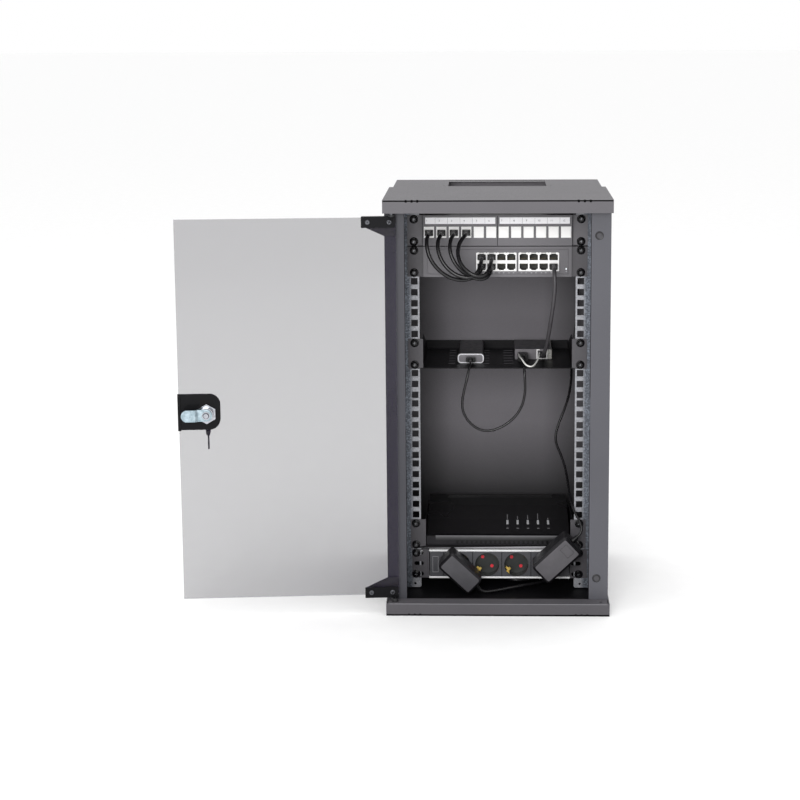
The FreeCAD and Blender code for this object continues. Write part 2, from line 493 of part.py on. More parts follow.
# ---------------------------------------------------------------- unit 5: device shelf
def shelf(n, cx, half, y_back, wall_h, notch=None, slots=()):
    z0 = uz(n) + 0.6
    e0, e1 = cx - half, cx + half
    s = fuse(box(e0, e1, EAR_Y0, y_back, z0, z0 + T),
             box(e0, e0 + T, EAR_Y0, y_back, z0, z0 + wall_h), box(e1 - T, e1, EAR_Y0, y_back, z0, z0 + wall_h))
    return s, z0, e0, e1

s, TZ, e0, e1 = shelf(5, 0.0, 107.6, 116.0, 43.3)
s = s.cut(prism([(-20.0, TZ + 50), (120.0, TZ + 50), (120.0, TZ + 14.0), (100.0, TZ + 14.0)], "x", -120, 120))
s = fuse(s, box(e0, e1, 116.0 - T, 116.0, TZ, TZ + 14.0))
for x0, dx in ((-71.0, 10.0), (-22.0, 10.5), (9.0, 14.5)):
    for y in (0.0, 40.0, 81.0, 121.0 - 22.0):
        s = s.cut(box(x0, x0 + dx, y - 1.6, y + 1.6, TZ - 1, TZ + 2.0))
s = fuse(s, ear(-127.5, -106.4, uz(5) + 0.6, uz(5) + 43.9, 5), ear(106.4, 127.5, uz(5) + 0.6, uz(5) + 43.9, 5))
add("device_shelf", s)
FZ = TZ + T
usb = box(-57.0, -20.0, 1.0, 110.0, FZ, FZ + 14.0)
usb = filletv(usb, 5.0, lambda e: e.BoundBox.YLength > 50)
port = box(-44.6, -32.4, -5, 14.0, FZ + 4.2, FZ + 8.8)
add("usb_device", usb.cut(port))
bez = box(-57.6, -19.4, -1.0, 1.0, FZ, FZ + 14.6)
bez = filletv(bez, 5.2, lambda e: e.BoundBox.YLength > 1.5 and e.BoundBox.XLength < .01 and e.BoundBox.ZLength < .01)
add("usb_device", bez.cut(port))
conv = box(25.7, 79.8, 29.0, 105.0, FZ, FZ + 15.4)
conv = filletv(conv, 1.2, lambda e: e.BoundBox.YLength > 50)
conv = cut(conv, box(57.6, 73.0, 28.0, 46.0, FZ + 1.0, FZ + 14.4), box(30.6, 43.8, 28.0, 42.0, FZ + 2.2, FZ + 9.6))
add("converter_case", conv)
cj = box(57.6, 73.0, 28.4, 46.0, FZ + 1.0, FZ + 14.4).cut(box(59.3, 71.3, 27.0, 44.5, FZ + 3.4, FZ + 12.2))
add("converter_case", cj)
cz = FZ + 7.8
cp = fuse(box(59.5, 71.1, 27.0, 43.0, cz - 3.3, cz + 3.3), box(60.1, 70.5, 23.4, 27.4, cz - 3.9, cz + 3.9),
          cone((65.3, 23.4, cz), (0, -1, 0), 4.2, 3.25, 6.9))
add("data_plugs", cp)
dcz = FZ + 5.9
dp = fuse(box(31.0, 43.4, 27.0, 41.0, FZ + 2.6, FZ + 9.2),
          filletv(box(29.6, 44.8, 10.0, 28.6, FZ + 0.5, FZ + 11.3), 2.5, lambda e: e.BoundBox.YLength > 10),
          cone((37.2, 10.0, dcz), (0, -1, 0), 3.6, 2.4, 6.0))
add("usb_lead_plugs", dp)
uz0 = FZ + 6.5
up = fuse(box(-44.3, -32.7, -1.6, 13.0, uz0 - 2.2, uz0 + 2.2),
          filletv(box(-45.6, -31.4, -9.5, -1.2, uz0 - 3.6, uz0 + 3.6), 1.8, lambda e: e.BoundBox.YLength > 5),
          cone((-38.5, -9.5, uz0), (0, -1, 0), 3.4, 2.4, 5.5))
add("usb_lead_plugs", up)

tube("uplink_cord", [(79.4, tail, 477.0), (79.4, -62.5, 477.0), (79.8, -69.2, 469.2), (80.4, -71.0, 456.2), (79.3, -67.0, 435.7), (76.5, -55.5, 410.2),
     (73.5, -39.8, 385.1), (71.0, -24.2, 363.4), (68.6, -11.0, 350.2), (66.2, 2.0, cz + 2.6), (65.3, 9.0, cz), (65.3, 16.5, cz)], CORD)
LEAD = 3.6
tube("usb_cord", [(-38.5, -15.0, uz0), (-38.6, -27.5, uz0), (-39.8, -38.8, uz0 - 4.0), (-42.8, -44.5, uz0 - 17.0), (-46.8, -46.0, 303.5), (-50.2, -46.5, 288.0),
     (-50.4, -47.4, 271.5), (-42.5, -48.6, 255.6), (-28.3, -49.5, 243.7), (-10.5, -49.3, 240.6), (8.9, -48.0, 248.1), (25.2, -47.0, 260.9),
     (35.6, -46.2, 277.6), (39.4, -45.6, 295.0), (39.4, -45.6, 311.0), (38.6, -44.2, 325.5), (37.8, -35.6, 336.6), (37.2, -20.5, dcz + 0.8), (37.2, 4.0, dcz)], LEAD)
tube("white_tie", [(30.9, 6.0, FZ + 12.6), (31.4, -14.0, FZ + 13.0), (34.6, -34.5, FZ + 13.4), (40.8, -48.2, FZ + 6.0), (50.5, -45.8, FZ + 3.8), (57.4, -26.0, FZ + 9.0),
     (60.5, -7.0, FZ + 13.6), (61.0, 10.0, FZ + 13.8)], 2.2)

# ---------------------------------------------------------------- unit 11: router shelf and router
RC = 2.0
s, RZ, e0, e1 = shelf(11, RC, 107.3, 116.0, 43.3)
s = s.cut(prism([(-30.0, RZ + 43.4), (120.0, RZ + 43.4), (120.0, RZ + 26.4)], "x", -120, 120))
for x in (-60.0, -20.0, 20.0):
    for y in (-10.0, 20.0, 50.0, 80.0):
        s = s.cut(box(x, x + 26.0, y - 1.6, y + 1.6, RZ - 1, RZ + 2.0))
s = fuse(s, box(e0, e1, EAR_Y0, EAR_Y0 + T, RZ, RZ + 4.0),
         ear(-125.6, -104.1, RZ, uz(11) + 43.9, 11), ear(105.8, 128.0, RZ, uz(11) + 43.9, 11))
add("router_shelf", s)
RF = RZ + T
R0, R1, RY0, RY1 = -103.2, 104.8, -28.0, 122.0
RPZ = RF + 14.5
rt = prism([(RY0, RF + 2.0), (RY1, RF + 2.0), (RY1, RF + 36.0), (RY1 - 2.0, RF + 38.0), (RY0 + 102.0, RF + 33.6), (RY0 + 52.0, RF + 26.2), (RY0 + 2.0, RF + 17.4), (RY0, RF + 16.0)], "x", R0, R1)
rt = rt.cut(box(-75.5, 83.5, 104.0, 118.6, RF + 34.9, RF + 50.0))
rt = cut(rt, box(64.0, 76.0, RY1 - 8.0, RY1 + 2, RPZ - 4.5, RPZ + 4.5), cyl((70.0, RY1 - 22.0, RPZ), (0, 1, 0), 3.0, 15.0))
for i in range(20):
    x = -60.0 + i * 6.9
    rt = rt.cut(box(x, x + 3.4, RY0 - 1, RY0 + 1.2, RF + 3.4, RF + 8.4))
add("router_case", prism([(RY0 - 0.8, RF + 9.5), (RY0, RF + 9.5), (RY0, RF + 16.0), (RY0 + 2.0, RF + 17.4), (RY0 + 2.4, RF + 18.2), (RY0 - 0.8, RF + 16.6)], "x", R0 + 13.2, R1 - 12.8))
for x in (-86.0, 88.0):
    for y in (RY0 + 10, 104.0):
        add("router_case", cyl((x, y, RF), (0, 0, 1), 5.0, 2.0))
sl = 8.8 / 50.0
for x in (15.0, 30.0, 45.0, 60.0, 75.0):
    y0 = 7.3
    z = RF + 17.4 + (y0 - RY0 - 2.0) * sl
    pr = prism([(y0, z - 0.6), (y0 + 13.6, z - 0.6 + 13.6 * sl), (y0 + 13.6, z + 0.25 + 13.6 * sl), (y0, z + 0.25)], "x", x - 1.6, x + 1.6)
    rt = rt.cut(pr)
    add("router_indicators", pr)
add("router_case", rt)

# ---------------------------------------------------------------- unit 12: socket strip
PC = 3.0
PX0, PX1 = PC - 102.5, PC + 102.5
PZ0, PZ1 = uz(12) + 0.5, uz(12) + 43.4
PFY = -36.0
prof = cut(box(PX0, PX1, PFY, 8.0, PZ0, PZ1), box(PX0 - 1, PX1 + 1, PFY + 12.0, 6.4, PZ0 + 1.6, PZ1 - 1.6),
           box(PX0 - 1, PX1 + 1, PFY - 1, PFY + 14.0, PZ0 + 2.6, PZ1 - 2.6))
prof = prof.cut(box(-88.0, -60.0, 5, 9, 26.0, 50.0))
add("pdu_profile", prof)
SX = [-57.3, -14.9, 27.5, 69.9]
SCZ = 38.6
mod_e = [PX0 + 1.2, -78.5, -36.1, 6.3, 48.7, 91.1, PX1 - 1.2]
mz0, mz1 = PZ0 + 2.7, PZ1 - 2.7
for i, x in enumerate(SX):
    m = fuse(box(mod_e[i + 1] + 0.15, mod_e[i + 2] - 0.15, PFY + 0.3, PFY + 2.3, mz0, mz1),
             cyl((x, PFY + 0.3, SCZ), (0, 1, 0), 18.7, 18.0))
    m = m.common(box(mod_e[i + 1] + 0.15, mod_e[i + 2] - 0.15, PFY, 0, mz0, mz1))
    m = m.cut(cyl((x, PFY - 1, SCZ), (0, 1, 0), 17.6, 17.8))
    for k in (-1, 1):
        m = m.cut(cyl((x - k * 6.8, PFY, SCZ + k * 6.8), (0, 1, 0), 2.5, 30))
    add("pdu_socket_modules", m)
    for k in (-1, 1):
        c = box(-3.0, 3.0, PFY + 1.5, PFY + 15.0, 16.6, 17.15)
        hook = box(-1.2, 1.2, PFY + 1.5, PFY + 3.0, 15.3, 16.7)
        c = c.fuse(hook)
        c.rotate(V(0, 0, 0), V(0, 1, 0), 45.0 if k > 0 else 225.0)
        c.translate(V(x, 0, SCZ))
        add("pdu_earth_clips", c)
    if i in (1, 2):
        for k in (-1, 1):
            add("pdu_shutters", cyl((x - k * 6.8, PFY + 16.0, SCZ + k * 6.8), (0, 1, 0), 2.45, 1.5))
add("pdu_socket_modules", box(mod_e[0], mod_e[1] - 0.15, PFY + 0.3, PFY + 2.3, mz0, mz1),
    box(mod_e[5] + 0.15, mod_e[6], PFY + 0.3, PFY + 2.3, mz0, mz1))
inlet = cut(box(-87.6, -60.4, -4.5, 9.6, 26.4, 49.6), box(-85.6, -62.4, -2.5, 11, 28.4, 47.6))
for x in (-81.0, -74.0, -67.0):
    inlet = inlet.fuse(box(x - 2.0, x + 2.0, -4.0, 7.0, 37.0, 39.0))
add("pdu_inlet", inlet.removeSplitter())
for a, b, sx in ((PC - 127.0, PX0, -1), (PX1, PC + 127.0, 1)):
    e = ear(a, b, PZ0, PZ1, 12, slot=7.5)
    c, d = (PX0 - 1.6, PX0) if sx < 0 else (PX1, PX1 + 1.6)
    e = fuse(e, box(c, d, PFY + 1.0, 4.0, PZ0 + 1, PZ1 - 1))
    zc = uz(12) + 22.2
    x0, x1 = sorted((sx * HOLE_X - 3.5 * sx, sx * (HOLE_X - 9.0)))
    e = e.cut(box(min(sx * HOLE_X, sx * (HOLE_X - 8.0)), max(sx * HOLE_X, sx * (HOLE_X - 8.0)), -40, -30, zc - 3.0, zc + 3.0))
    for x in (sx * HOLE_X, sx * (HOLE_X - 8.0)):
        e = e.cut(cyl((x, -40, zc), (0, 1, 0), 3.0, 10))
    add("equipment_ears", e)

# plug-in power adapters, each turned 45 degrees with its socket
def place(s, cx, cz_, ang):
    s = s.copy()
    s.rotate(V(0, 0, 0), V(0, 1, 0), ang)     # positive turns +X down towards -Z
    s.translate(V(cx, 0, cz_))
    return s

LA_C, LA_A = (-51.5, 33.0), 43.5
la = box(-34.0, 27.5, -71.0, -38.0, -15.5, 15.5)
la = filletv(la, 6.0, lambda e: e.BoundBox.YLength > 5 and e.BoundBox.XLength < .01 and e.BoundBox.ZLength < .01)
la = la.makeChamfer(3.5, [e for e in la.Edges if abs(e.BoundBox.YMin + 71) < .01 and abs(e.BoundBox.YMax + 71) < .01])
la = place(la, LA_C[0], LA_C[1], LA_A)
plug = cyl((SX[0], -38.2, SCZ), (0, 1, 0), 15.0, 18.9)
pins = [cyl((SX[0] - k * 6.8, -20.0, SCZ + k * 6.8), (0, 1, 0), 2.0, 15.0) for k in (-1, 1)]
add("left_power_adapter", fuse(la, plug, *pins))
lr = place(cone((27.5, -57.0, 0), (1, 0, 0), 4.2, 2.6, 8.0), LA_C[0], LA_C[1], LA_A)
add("strain_reliefs", lr)

RA_C, RA_A = (84.2, 58.6), -43.5
ra = box(-33.5, 33.5, -79.0, -44.0, -19.0, 17.0)
ra = filletv(ra, 6.0, lambda e: e.BoundBox.YLength > 5 and e.BoundBox.XLength < .01 and e.BoundBox.ZLength < .01)
ra = ra.makeChamfer(3.5, [e for e in ra.Edges if abs(e.BoundBox.YMin + 79) < .01 and abs(e.BoundBox.YMax + 79) < .01])
ra = place(ra, RA_C[0], RA_C[1], RA_A)
plug = cyl((SX[3], -44.2, SCZ), (0, 1, 0), 15.0, 24.9)
pins = [cyl((SX[3] - k * 6.8, -20.0, SCZ + k * 6.8), (0, 1, 0), 2.0, 15.0) for k in (-1, 1)]
add("right_power_adapter", fuse(ra, plug, *pins))
rr = place(cone((33.5, -58.0, 0.0), (1, 0, 0), 4.4, 2.6, 9.0), RA_C[0], RA_C[1], RA_A)
add("strain_reliefs", rr)

def local(cx, cz_, ang, u, y, v):
    a = math.radians(ang)
    return (cx + u * math.cos(a) + v * math.sin(a), y, cz_ - u * math.sin(a) + v * math.cos(a))

LEAD2 = 4.0
l0 = local(LA_C[0], LA_C[1], LA_A, 35.5, -57.0, 0.0)
l1 = local(LA_C[0], LA_C[1], LA_A, 42.0, -57.0, 0.0)
r0 = local(RA_C[0], RA_C[1], RA_A, 42.5, -58.0, 0.0)
r1 = local(RA_C[0], RA_C[1], RA_A, 48.5, -58.0, 0.0)

# router's supply plug and its lead: a loose turn under the socket strip, then up behind the shelf
add("supply_plugs", fuse(cyl((70.0, RY1 - 19.8, RPZ), (0, 1, 0), 2.7, 13.0), cyl((70.0, RY1 - 7.8, RPZ), (0, 1, 0), 4.2, 10.0),
                               cone((70.0, RY1 + 2.2, RPZ), (0, 1, 0), 3.6, 2.5, 6.0)))
tube("left_adapter_cord", [l0, l1, (-11.0, -55.0, 4.2), (4.0, -51.0, 5.4), (22.0, -45.5, 7.6), (44.0, -37.0, 9.0), (66.0, -24.0, 8.6), (84.0, -4.0, 8.0), (90.0, 18.0, 8.0),
     (82.0, 40.0, 8.0), (60.0, 52.0, 8.6), (34.0, 48.0, 9.4), (12.0, 33.0, 10.0), (2.0, 10.0, 10.6), (8.0, -13.0, 11.0), (26.0, -24.0, 11.2), (47.0, -18.0, 11.0),
     (62.0, 0.0, 11.4), (69.0, 22.0, 14.5), (73.0, 46.0, 20.0), (75.0, 72.0, 28.0), (75.0, 98.0, 36.0), (75.0, 120.0, 42.0), (73.5, 135.0, 50.0), (71.0, 141.8, 61.5),
     (70.0, 141.8, 73.4), (70.0, 137.1, RPZ), (70.0, RY1 + 8.2, RPZ)], LEAD2)

# switch's supply plug and the lead from the right adapter, up behind the device shelf
SPX, SPZ = 90.0, 484.0
add("supply_plugs", fuse(cyl((SPX, 60.2, SPZ), (0, 1, 0), 4.4, 10.0), cone((SPX, 70.2, SPZ), (0, 1, 0), 3.6, 2.4, 7.0), cyl((SPX, 52.0, SPZ), (0, 1, 0), 2.7, 8.4)))
tube("right_adapter_cord", [r0, r1, (121.5, -55.5, 99.5), (118.0, -50.0, 110.5), (111.5, -43.0, 119.0), (107.0, -33.0, 129.0), (104.4, -16.0, 141.0), (103.0, 2.0, 154.0),
     (100.5, 20.0, 168.5), (94.0, 35.0, 186.0), (87.2, 45.0, 199.5), (86.4, 51.0, 213.0), (92.0, 56.0, 230.0), (101.0, 62.0, 250.0), (108.2, 72.0, 272.0), (111.4, 88.0, 291.0),
     (112.0, 107.0, 309.0), (114.0, 122.0, 332.0), (119.5, 128.0, 360.0), (121.5, 129.0, 392.0), (121.5, 128.0, 428.0), (120.0, 124.0, 457.0), (113.0, 116.5, 474.0),
     (102.5, 107.5, 482.5), (93.5, 98.0, SPZ), (SPX, 88.5, SPZ), (SPX, 77.2, SPZ)], LEAD)

# ---------------------------------------------------------------- files
for n, ss in nodes.items():
    shp = ss[0] if len(ss) == 1 else Part.makeCompound(ss)
    if not shp.isValid():
        print("INVALID", n)
    for i, k in enumerate(ss):
        if len(k.Solids) != 1:
            print("SOLIDS", n, i, len(k.Solids))
    shp.exportStep("parts/%s.step" % n)
print(len(nodes), "nodes")
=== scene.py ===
import bpy, bmesh, math, random
from mathutils import Vector, Matrix, Quaternion


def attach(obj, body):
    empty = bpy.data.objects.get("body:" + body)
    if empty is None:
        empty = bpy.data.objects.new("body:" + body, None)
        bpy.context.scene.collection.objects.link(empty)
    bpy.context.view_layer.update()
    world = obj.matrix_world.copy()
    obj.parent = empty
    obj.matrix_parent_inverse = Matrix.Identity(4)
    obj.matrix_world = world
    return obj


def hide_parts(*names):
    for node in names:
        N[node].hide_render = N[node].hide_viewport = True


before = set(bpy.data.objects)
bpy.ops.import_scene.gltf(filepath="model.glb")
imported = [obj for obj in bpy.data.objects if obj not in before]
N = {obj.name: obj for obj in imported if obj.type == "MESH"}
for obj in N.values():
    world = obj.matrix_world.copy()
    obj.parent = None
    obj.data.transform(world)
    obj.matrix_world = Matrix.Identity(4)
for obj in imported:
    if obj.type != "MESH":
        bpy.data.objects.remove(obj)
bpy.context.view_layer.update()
scene = bpy.context.scene
random.seed(7)

# ------------------------------------------------------------------ camera
cam_data = bpy.data.cameras.new("camera")
cam = bpy.data.objects.new("camera", cam_data)
scene.collection.objects.link(cam)
scene.camera = cam
yaw, pit, roll = 0.0286, 0.1644, 0.0053
fwd = Vector((-math.sin(yaw) * math.cos(pit), math.cos(yaw) * math.cos(pit), -math.sin(pit)))
rgt = Vector((math.cos(yaw), math.sin(yaw), 0.0))
up = rgt.cross(fwd)
cr, sr = math.cos(roll), math.sin(roll)
r2, u2 = rgt * cr - up * sr, rgt * sr + up * cr
m = Matrix.Identity(4)
for i, v in enumerate((r2, u2, -fwd, Vector((-0.009, -2.57698, 0.84517)))):
    for k in range(3):
        m[k][i] = v[k]
cam.matrix_world = m
cam_data.sensor_width = 36.0
cam_data.lens = 81.489
cam_data.shift_x, cam_data.shift_y = -0.05, -0.12
cam_data.clip_start, cam_data.clip_end = 0.05, 60.0

# ------------------------------------------------------------------ cords
def nurbs(name, pts, d, body="cabinet", res=14):
    c = bpy.data.curves.new(name, "CURVE")
    c.dimensions = "3D"
    s = c.splines.new("NURBS")
    s.points.add(len(pts) - 1)
    for p, q in zip(s.points, pts):
        p.co = (q[0], q[1], q[2], 1.0)
        p.radius = d / 2
    s.order_u = 3
    s.use_endpoint_u = True
    s.resolution_u = res
    c.bevel_depth = 1.0          # times each point's radius, half the diameter
    c.bevel_resolution = 5
    c.use_fill_caps = True
    o = bpy.data.objects.new(name, c)
    scene.collection.objects.link(o)
    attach(o, body)
    return o

ROUTES = {
 "patch_cord_1": ([(-0.0968, -0.0515, 0.526), (-0.0968, -0.062, 0.526), (-0.0988, -0.071, 0.5217), (-0.0987, -0.0775, 0.5111), (-0.0947, -0.0807, 0.4962), (-0.0848, -0.0812, 0.4809), (-0.0691, -0.08, 0.4685), (-0.0509, -0.0783, 0.4633), (-0.0355, -0.0751, 0.4661), (-0.0265, -0.0696, 0.4717), (-0.0224, -0.062, 0.477), (-0.0224, -0.0515, 0.477)], 0.0055),
 "patch_cord_2": ([(-0.0792, -0.0515, 0.526), (-0.0792, -0.062, 0.526), (-0.0827, -0.0708, 0.5207), (-0.0837, -0.0777, 0.5105), (-0.0801, -0.0825, 0.4967), (-0.0714, -0.0861, 0.4833), (-0.0585, -0.0893, 0.4733), (-0.0441, -0.0911, 0.4691), (-0.0332, -0.09, 0.4711), (-0.0265, -0.0844, 0.478), (-0.0235, -0.075, 0.4856), (-0.0224, -0.063, 0.4912), (-0.0224, -0.0515, 0.4912)], 0.0055),
 "patch_cord_3": ([(-0.0616, -0.0515, 0.526), (-0.0616, -0.062, 0.526), (-0.0657, -0.0709, 0.5199), (-0.0669, -0.0781, 0.509), (-0.0633, -0.0826, 0.4951), (-0.0537, -0.084, 0.4809), (-0.0399, -0.0826, 0.47), (-0.026, -0.0807, 0.4651), (-0.0161, -0.0768, 0.4666), (-0.0109, -0.0704, 0.4718), (-0.0084, -0.062, 0.477), (-0.0084, -0.0515, 0.477)], 0.0055),
 "patch_cord_4": ([(-0.044, -0.0515, 0.526), (-0.044, -0.062, 0.526), (-0.0507, -0.0704, 0.5199), (-0.0549, -0.077, 0.5106), (-0.0553, -0.0842, 0.4992), (-0.0508, -0.0912, 0.4879), (-0.0416, -0.097, 0.4788), (-0.0296, -0.0998, 0.4727), (-0.0185, -0.0968, 0.473), (-0.0121, -0.0889, 0.4791), (-0.0094, -0.077, 0.4863), (-0.0084, -0.064, 0.4912), (-0.0084, -0.0515, 0.4912)], 0.0055),
 "uplink_cord": ([(0.0794, -0.0515, 0.477), (0.0794, -0.0625, 0.477), (0.0798, -0.0692, 0.4692), (0.0804, -0.071, 0.4562), (0.0793, -0.067, 0.4357), (0.0765, -0.0555, 0.4102), (0.0735, -0.0398, 0.3851), (0.071, -0.0242, 0.3634), (0.0686, -0.011, 0.3502), (0.0662, 0.002, 0.34075), (0.0653, 0.009, 0.33815), (0.0653, 0.0165, 0.33815)], 0.0055),
 "usb_cord": ([(-0.0385, -0.015, 0.33685), (-0.0386, -0.0275, 0.33685), (-0.0398, -0.0388, 0.33285), (-0.0428, -0.0445, 0.31985), (-0.0468, -0.046, 0.3035), (-0.0502, -0.0465, 0.288), (-0.0504, -0.0474, 0.2715), (-0.0425, -0.0486, 0.2556), (-0.0283, -0.0495, 0.2437), (-0.0105, -0.0493, 0.2406), (0.0089, -0.048, 0.2481), (0.0252, -0.047, 0.2609), (0.0356, -0.0462, 0.2776), (0.0394, -0.0456, 0.295), (0.0394, -0.0456, 0.311), (0.0386, -0.0442, 0.3255), (0.0378, -0.0356, 0.3366), (0.0372, -0.0205, 0.33705), (0.0372, 0.004, 0.33625)], 0.0036),
 "white_tie": ([(0.0309, 0.006, 0.34295), (0.0314, -0.014, 0.34335), (0.0346, -0.0345, 0.34375), (0.0408, -0.0482, 0.33635), (0.0505, -0.0458, 0.33415), (0.0574, -0.026, 0.33935), (0.0605, -0.007, 0.34395), (0.061, 0.01, 0.34415)], 0.0022),
 "left_adapter_cord": ([(-0.02575, -0.057, 0.00856), (-0.02103, -0.057, 0.00409), (-0.011, -0.055, 0.0042), (0.004, -0.051, 0.0054), (0.022, -0.0455, 0.0076), (0.044, -0.037, 0.009), (0.066, -0.024, 0.0086), (0.084, -0.004, 0.008), (0.09, 0.018, 0.008), (0.082, 0.04, 0.008), (0.06, 0.052, 0.0086), (0.034, 0.048, 0.0094), (0.012, 0.033, 0.01), (0.002, 0.01, 0.0106), (0.008, -0.013, 0.011), (0.026, -0.024, 0.0112), (0.047, -0.018, 0.011), (0.062, 0.0, 0.0114), (0.069, 0.022, 0.0145), (0.073, 0.046, 0.02), (0.075, 0.072, 0.028), (0.075, 0.098, 0.036), (0.075, 0.12, 0.042), (0.0735, 0.135, 0.05), (0.071, 0.1418, 0.0615), (0.07, 0.1418, 0.0734), (0.07, 0.1371, 0.07815), (0.07, 0.1302, 0.07815)], 0.0040),
 "right_adapter_cord": ([(0.11503, -0.058, 0.08786), (0.11938, -0.058, 0.09199), (0.1215, -0.0555, 0.0995), (0.118, -0.05, 0.1105), (0.1115, -0.043, 0.119), (0.107, -0.033, 0.129), (0.1044, -0.016, 0.141), (0.103, 0.002, 0.154), (0.1005, 0.02, 0.1685), (0.094, 0.035, 0.186), (0.0872, 0.045, 0.1995), (0.0864, 0.051, 0.213), (0.092, 0.056, 0.23), (0.101, 0.062, 0.25), (0.1082, 0.072, 0.272), (0.1114, 0.088, 0.291), (0.112, 0.107, 0.309), (0.114, 0.122, 0.332), (0.1195, 0.128, 0.36), (0.1215, 0.129, 0.392), (0.1215, 0.128, 0.428), (0.12, 0.124, 0.457), (0.113, 0.1165, 0.474), (0.1025, 0.1075, 0.4825), (0.0935, 0.098, 0.484), (0.09, 0.0885, 0.484), (0.09, 0.0772, 0.484)], 0.0036),
}
CORDS = {}
for name, (pts, d) in ROUTES.items():
    o = nurbs(name + "_line", pts, d)
    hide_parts(name)
    CORDS[name] = o

# ------------------------------------------------------------------ material helpers
def lin(v):
    v = v / 255.0
    return v / 12.92 if v <= 0.04045 else ((v + 0.055) / 1.055) ** 2.4

def rgb(r, g=None, b=None):
    if g is None:
        g = b = r
    return (lin(r), lin(g), lin(b), 1.0)

class Mat:
    """A procedural material: Principled shader fed by object-space noise."""
    def __init__(self, name, rough=0.5, metal=0.0, spec=0.5, coat=0.0, coat_rough=0.1, sheen=0.0, ior=1.45, trans=0.0, alpha=1.0):
        self.m = bpy.data.materials.new(name)
        self.m.use_nodes = True
        nt = self.nt = self.m.node_tree
        nt.nodes.clear()
        out = nt.nodes.new("ShaderNodeOutputMaterial")
        self.b = nt.nodes.new("ShaderNodeBsdfPrincipled")
        nt.links.new(self.b.outputs[0], out.inputs[0])
        tc = nt.nodes.new("ShaderNodeTexCoord")
        self.co = tc.outputs["Object"]
        self.set("Roughness", rough); self.set("Metallic", metal); self.set("Specular IOR Level", spec)
        self.set("Coat Weight", coat); self.set("Coat Roughness", coat_rough); self.set("IOR", ior)
        self.set("Sheen Weight", sheen); self.set("Transmission Weight", trans); self.set("Alpha", alpha)
        self.normal = None

    def set(self, k, v):
        self.b.inputs[k].default_value = v

    def node(self, t, **kw):
        n = self.nt.nodes.new(t)
        for k, v in kw.items():
            setattr(n, k, v)
        return n

    def link(self, a, b):
        self.nt.links.new(a, b)

    def mapped(self, scale=(1, 1, 1), rot=(0, 0, 0)):
        n = self.node("ShaderNodeMapping")
        n.inputs["Scale"].default_value = scale
        n.inputs["Rotation"].default_value = rot
        self.link(self.co, n.inputs["Vector"])
        return n.outputs["Vector"]

    def noise(self, scale, detail=2.0, rough=0.5, dist=0.0, vec=None):
        n = self.node("ShaderNodeTexNoise")
        n.inputs["Scale"].default_value = scale
        n.inputs["Detail"].default_value = detail
        n.inputs["Roughness"].default_value = rough
        n.inputs["Distortion"].default_value = dist
        self.link(vec or self.co, n.inputs["Vector"])
        return n.outputs["Fac"]

    def voronoi(self, scale, feature="F1", vec=None, out="Distance", rnd=1.0):
        n = self.node("ShaderNodeTexVoronoi", feature=feature)
        n.inputs["Scale"].default_value = scale
        n.inputs["Randomness"].default_value = rnd
        self.link(vec or self.co, n.inputs["Vector"])
        return n.outputs[out]

    def ramp(self, fac, stops, interp="LINEAR"):
        n = self.node("ShaderNodeValToRGB")
        n.color_ramp.interpolation = interp
        e = n.color_ramp.elements
        while len(e) < len(stops):
            e.new(0.5)
        for k, (p, c) in enumerate(stops):
            e[k].position = p
            e[k].color = c if len(c) == 4 else (*c, 1.0)
        self.link(fac, n.inputs["Fac"])
        return n.outputs["Color"]

    def range(self, fac, a, b, lo=0.3, hi=0.7):
        n = self.node("ShaderNodeMapRange")
        n.inputs["From Min"].default_value = lo
        n.inputs["From Max"].default_value = hi
        n.inputs["To Min"].default_value = a
        n.inputs["To Max"].default_value = b
        self.link(fac, n.inputs["Value"])
        return n.outputs["Result"]

    def mix(self, fac, a, b, mode="MIX"):
        n = self.node("ShaderNodeMix", data_type="RGBA", blend_type=mode)
        ins = [s for s in n.inputs if s.type == "RGBA"]
        for s, v in ((n.inputs["Factor"], fac), (ins[0], a), (ins[1], b)):
            if isinstance(v, bpy.types.NodeSocket):
                self.link(v, s)
            else:
                s.default_value = v
        return [s for s in n.outputs if s.type == "RGBA"][0]

    def math(self, op, a, b=0.5):
        n = self.node("ShaderNodeMath", operation=op)
        for s, v in ((n.inputs[0], a), (n.inputs[1], b)):
            if isinstance(v, bpy.types.NodeSocket):
                self.link(v, s)
            else:
                s.default_value = v
        return n.outputs[0]

    def color(self, sock):
        self.link(sock, self.b.inputs["Base Color"])
        return self

    def rough(self, sock):
        self.link(sock, self.b.inputs["Roughness"])
        return self

    def bump(self, height, distance, strength=1.0):
        n = self.node("ShaderNodeBump")
        n.inputs["Distance"].default_value = distance
        n.inputs["Strength"].default_value = strength
        self.link(height, n.inputs["Height"])
        if self.normal is not None:
            self.link(self.normal, n.inputs["Normal"])
        self.normal = n.outputs["Normal"]
        self.link(self.normal, self.b.inputs["Normal"])
        return self

def powder(name, c, rough=(0.42, 0.56), tint=0.12, grain=1500.0, depth=0.000015, cloud=7.0, spec=0.45):
    """Fine-textured powder coat: orange-peel bump, speckled tone, faint clouds."""
    k = Mat(name, spec=spec)
    lo, hi = [tuple(x * f for x in c[:3]) + (1,) for f in (1 - tint, 1 + tint)]
    fine = k.noise(grain, 3.0, 0.6)
    big = k.noise(cloud, 2.0)
    base = k.ramp(fine, [(0.34, lo), (0.66, hi)])
    shade = k.ramp(big, [(0.3, (0.93, 0.93, 0.93)), (0.7, (1.05, 1.05, 1.05))])
    k.color(k.mix(1.0, base, shade, "MULTIPLY"))
    k.rough(k.range(k.noise(grain * 0.6, 2.0), *rough))
    k.bump(k.noise(grain * 0.55, 3.0, 0.6), depth, 0.55)
    return k.m

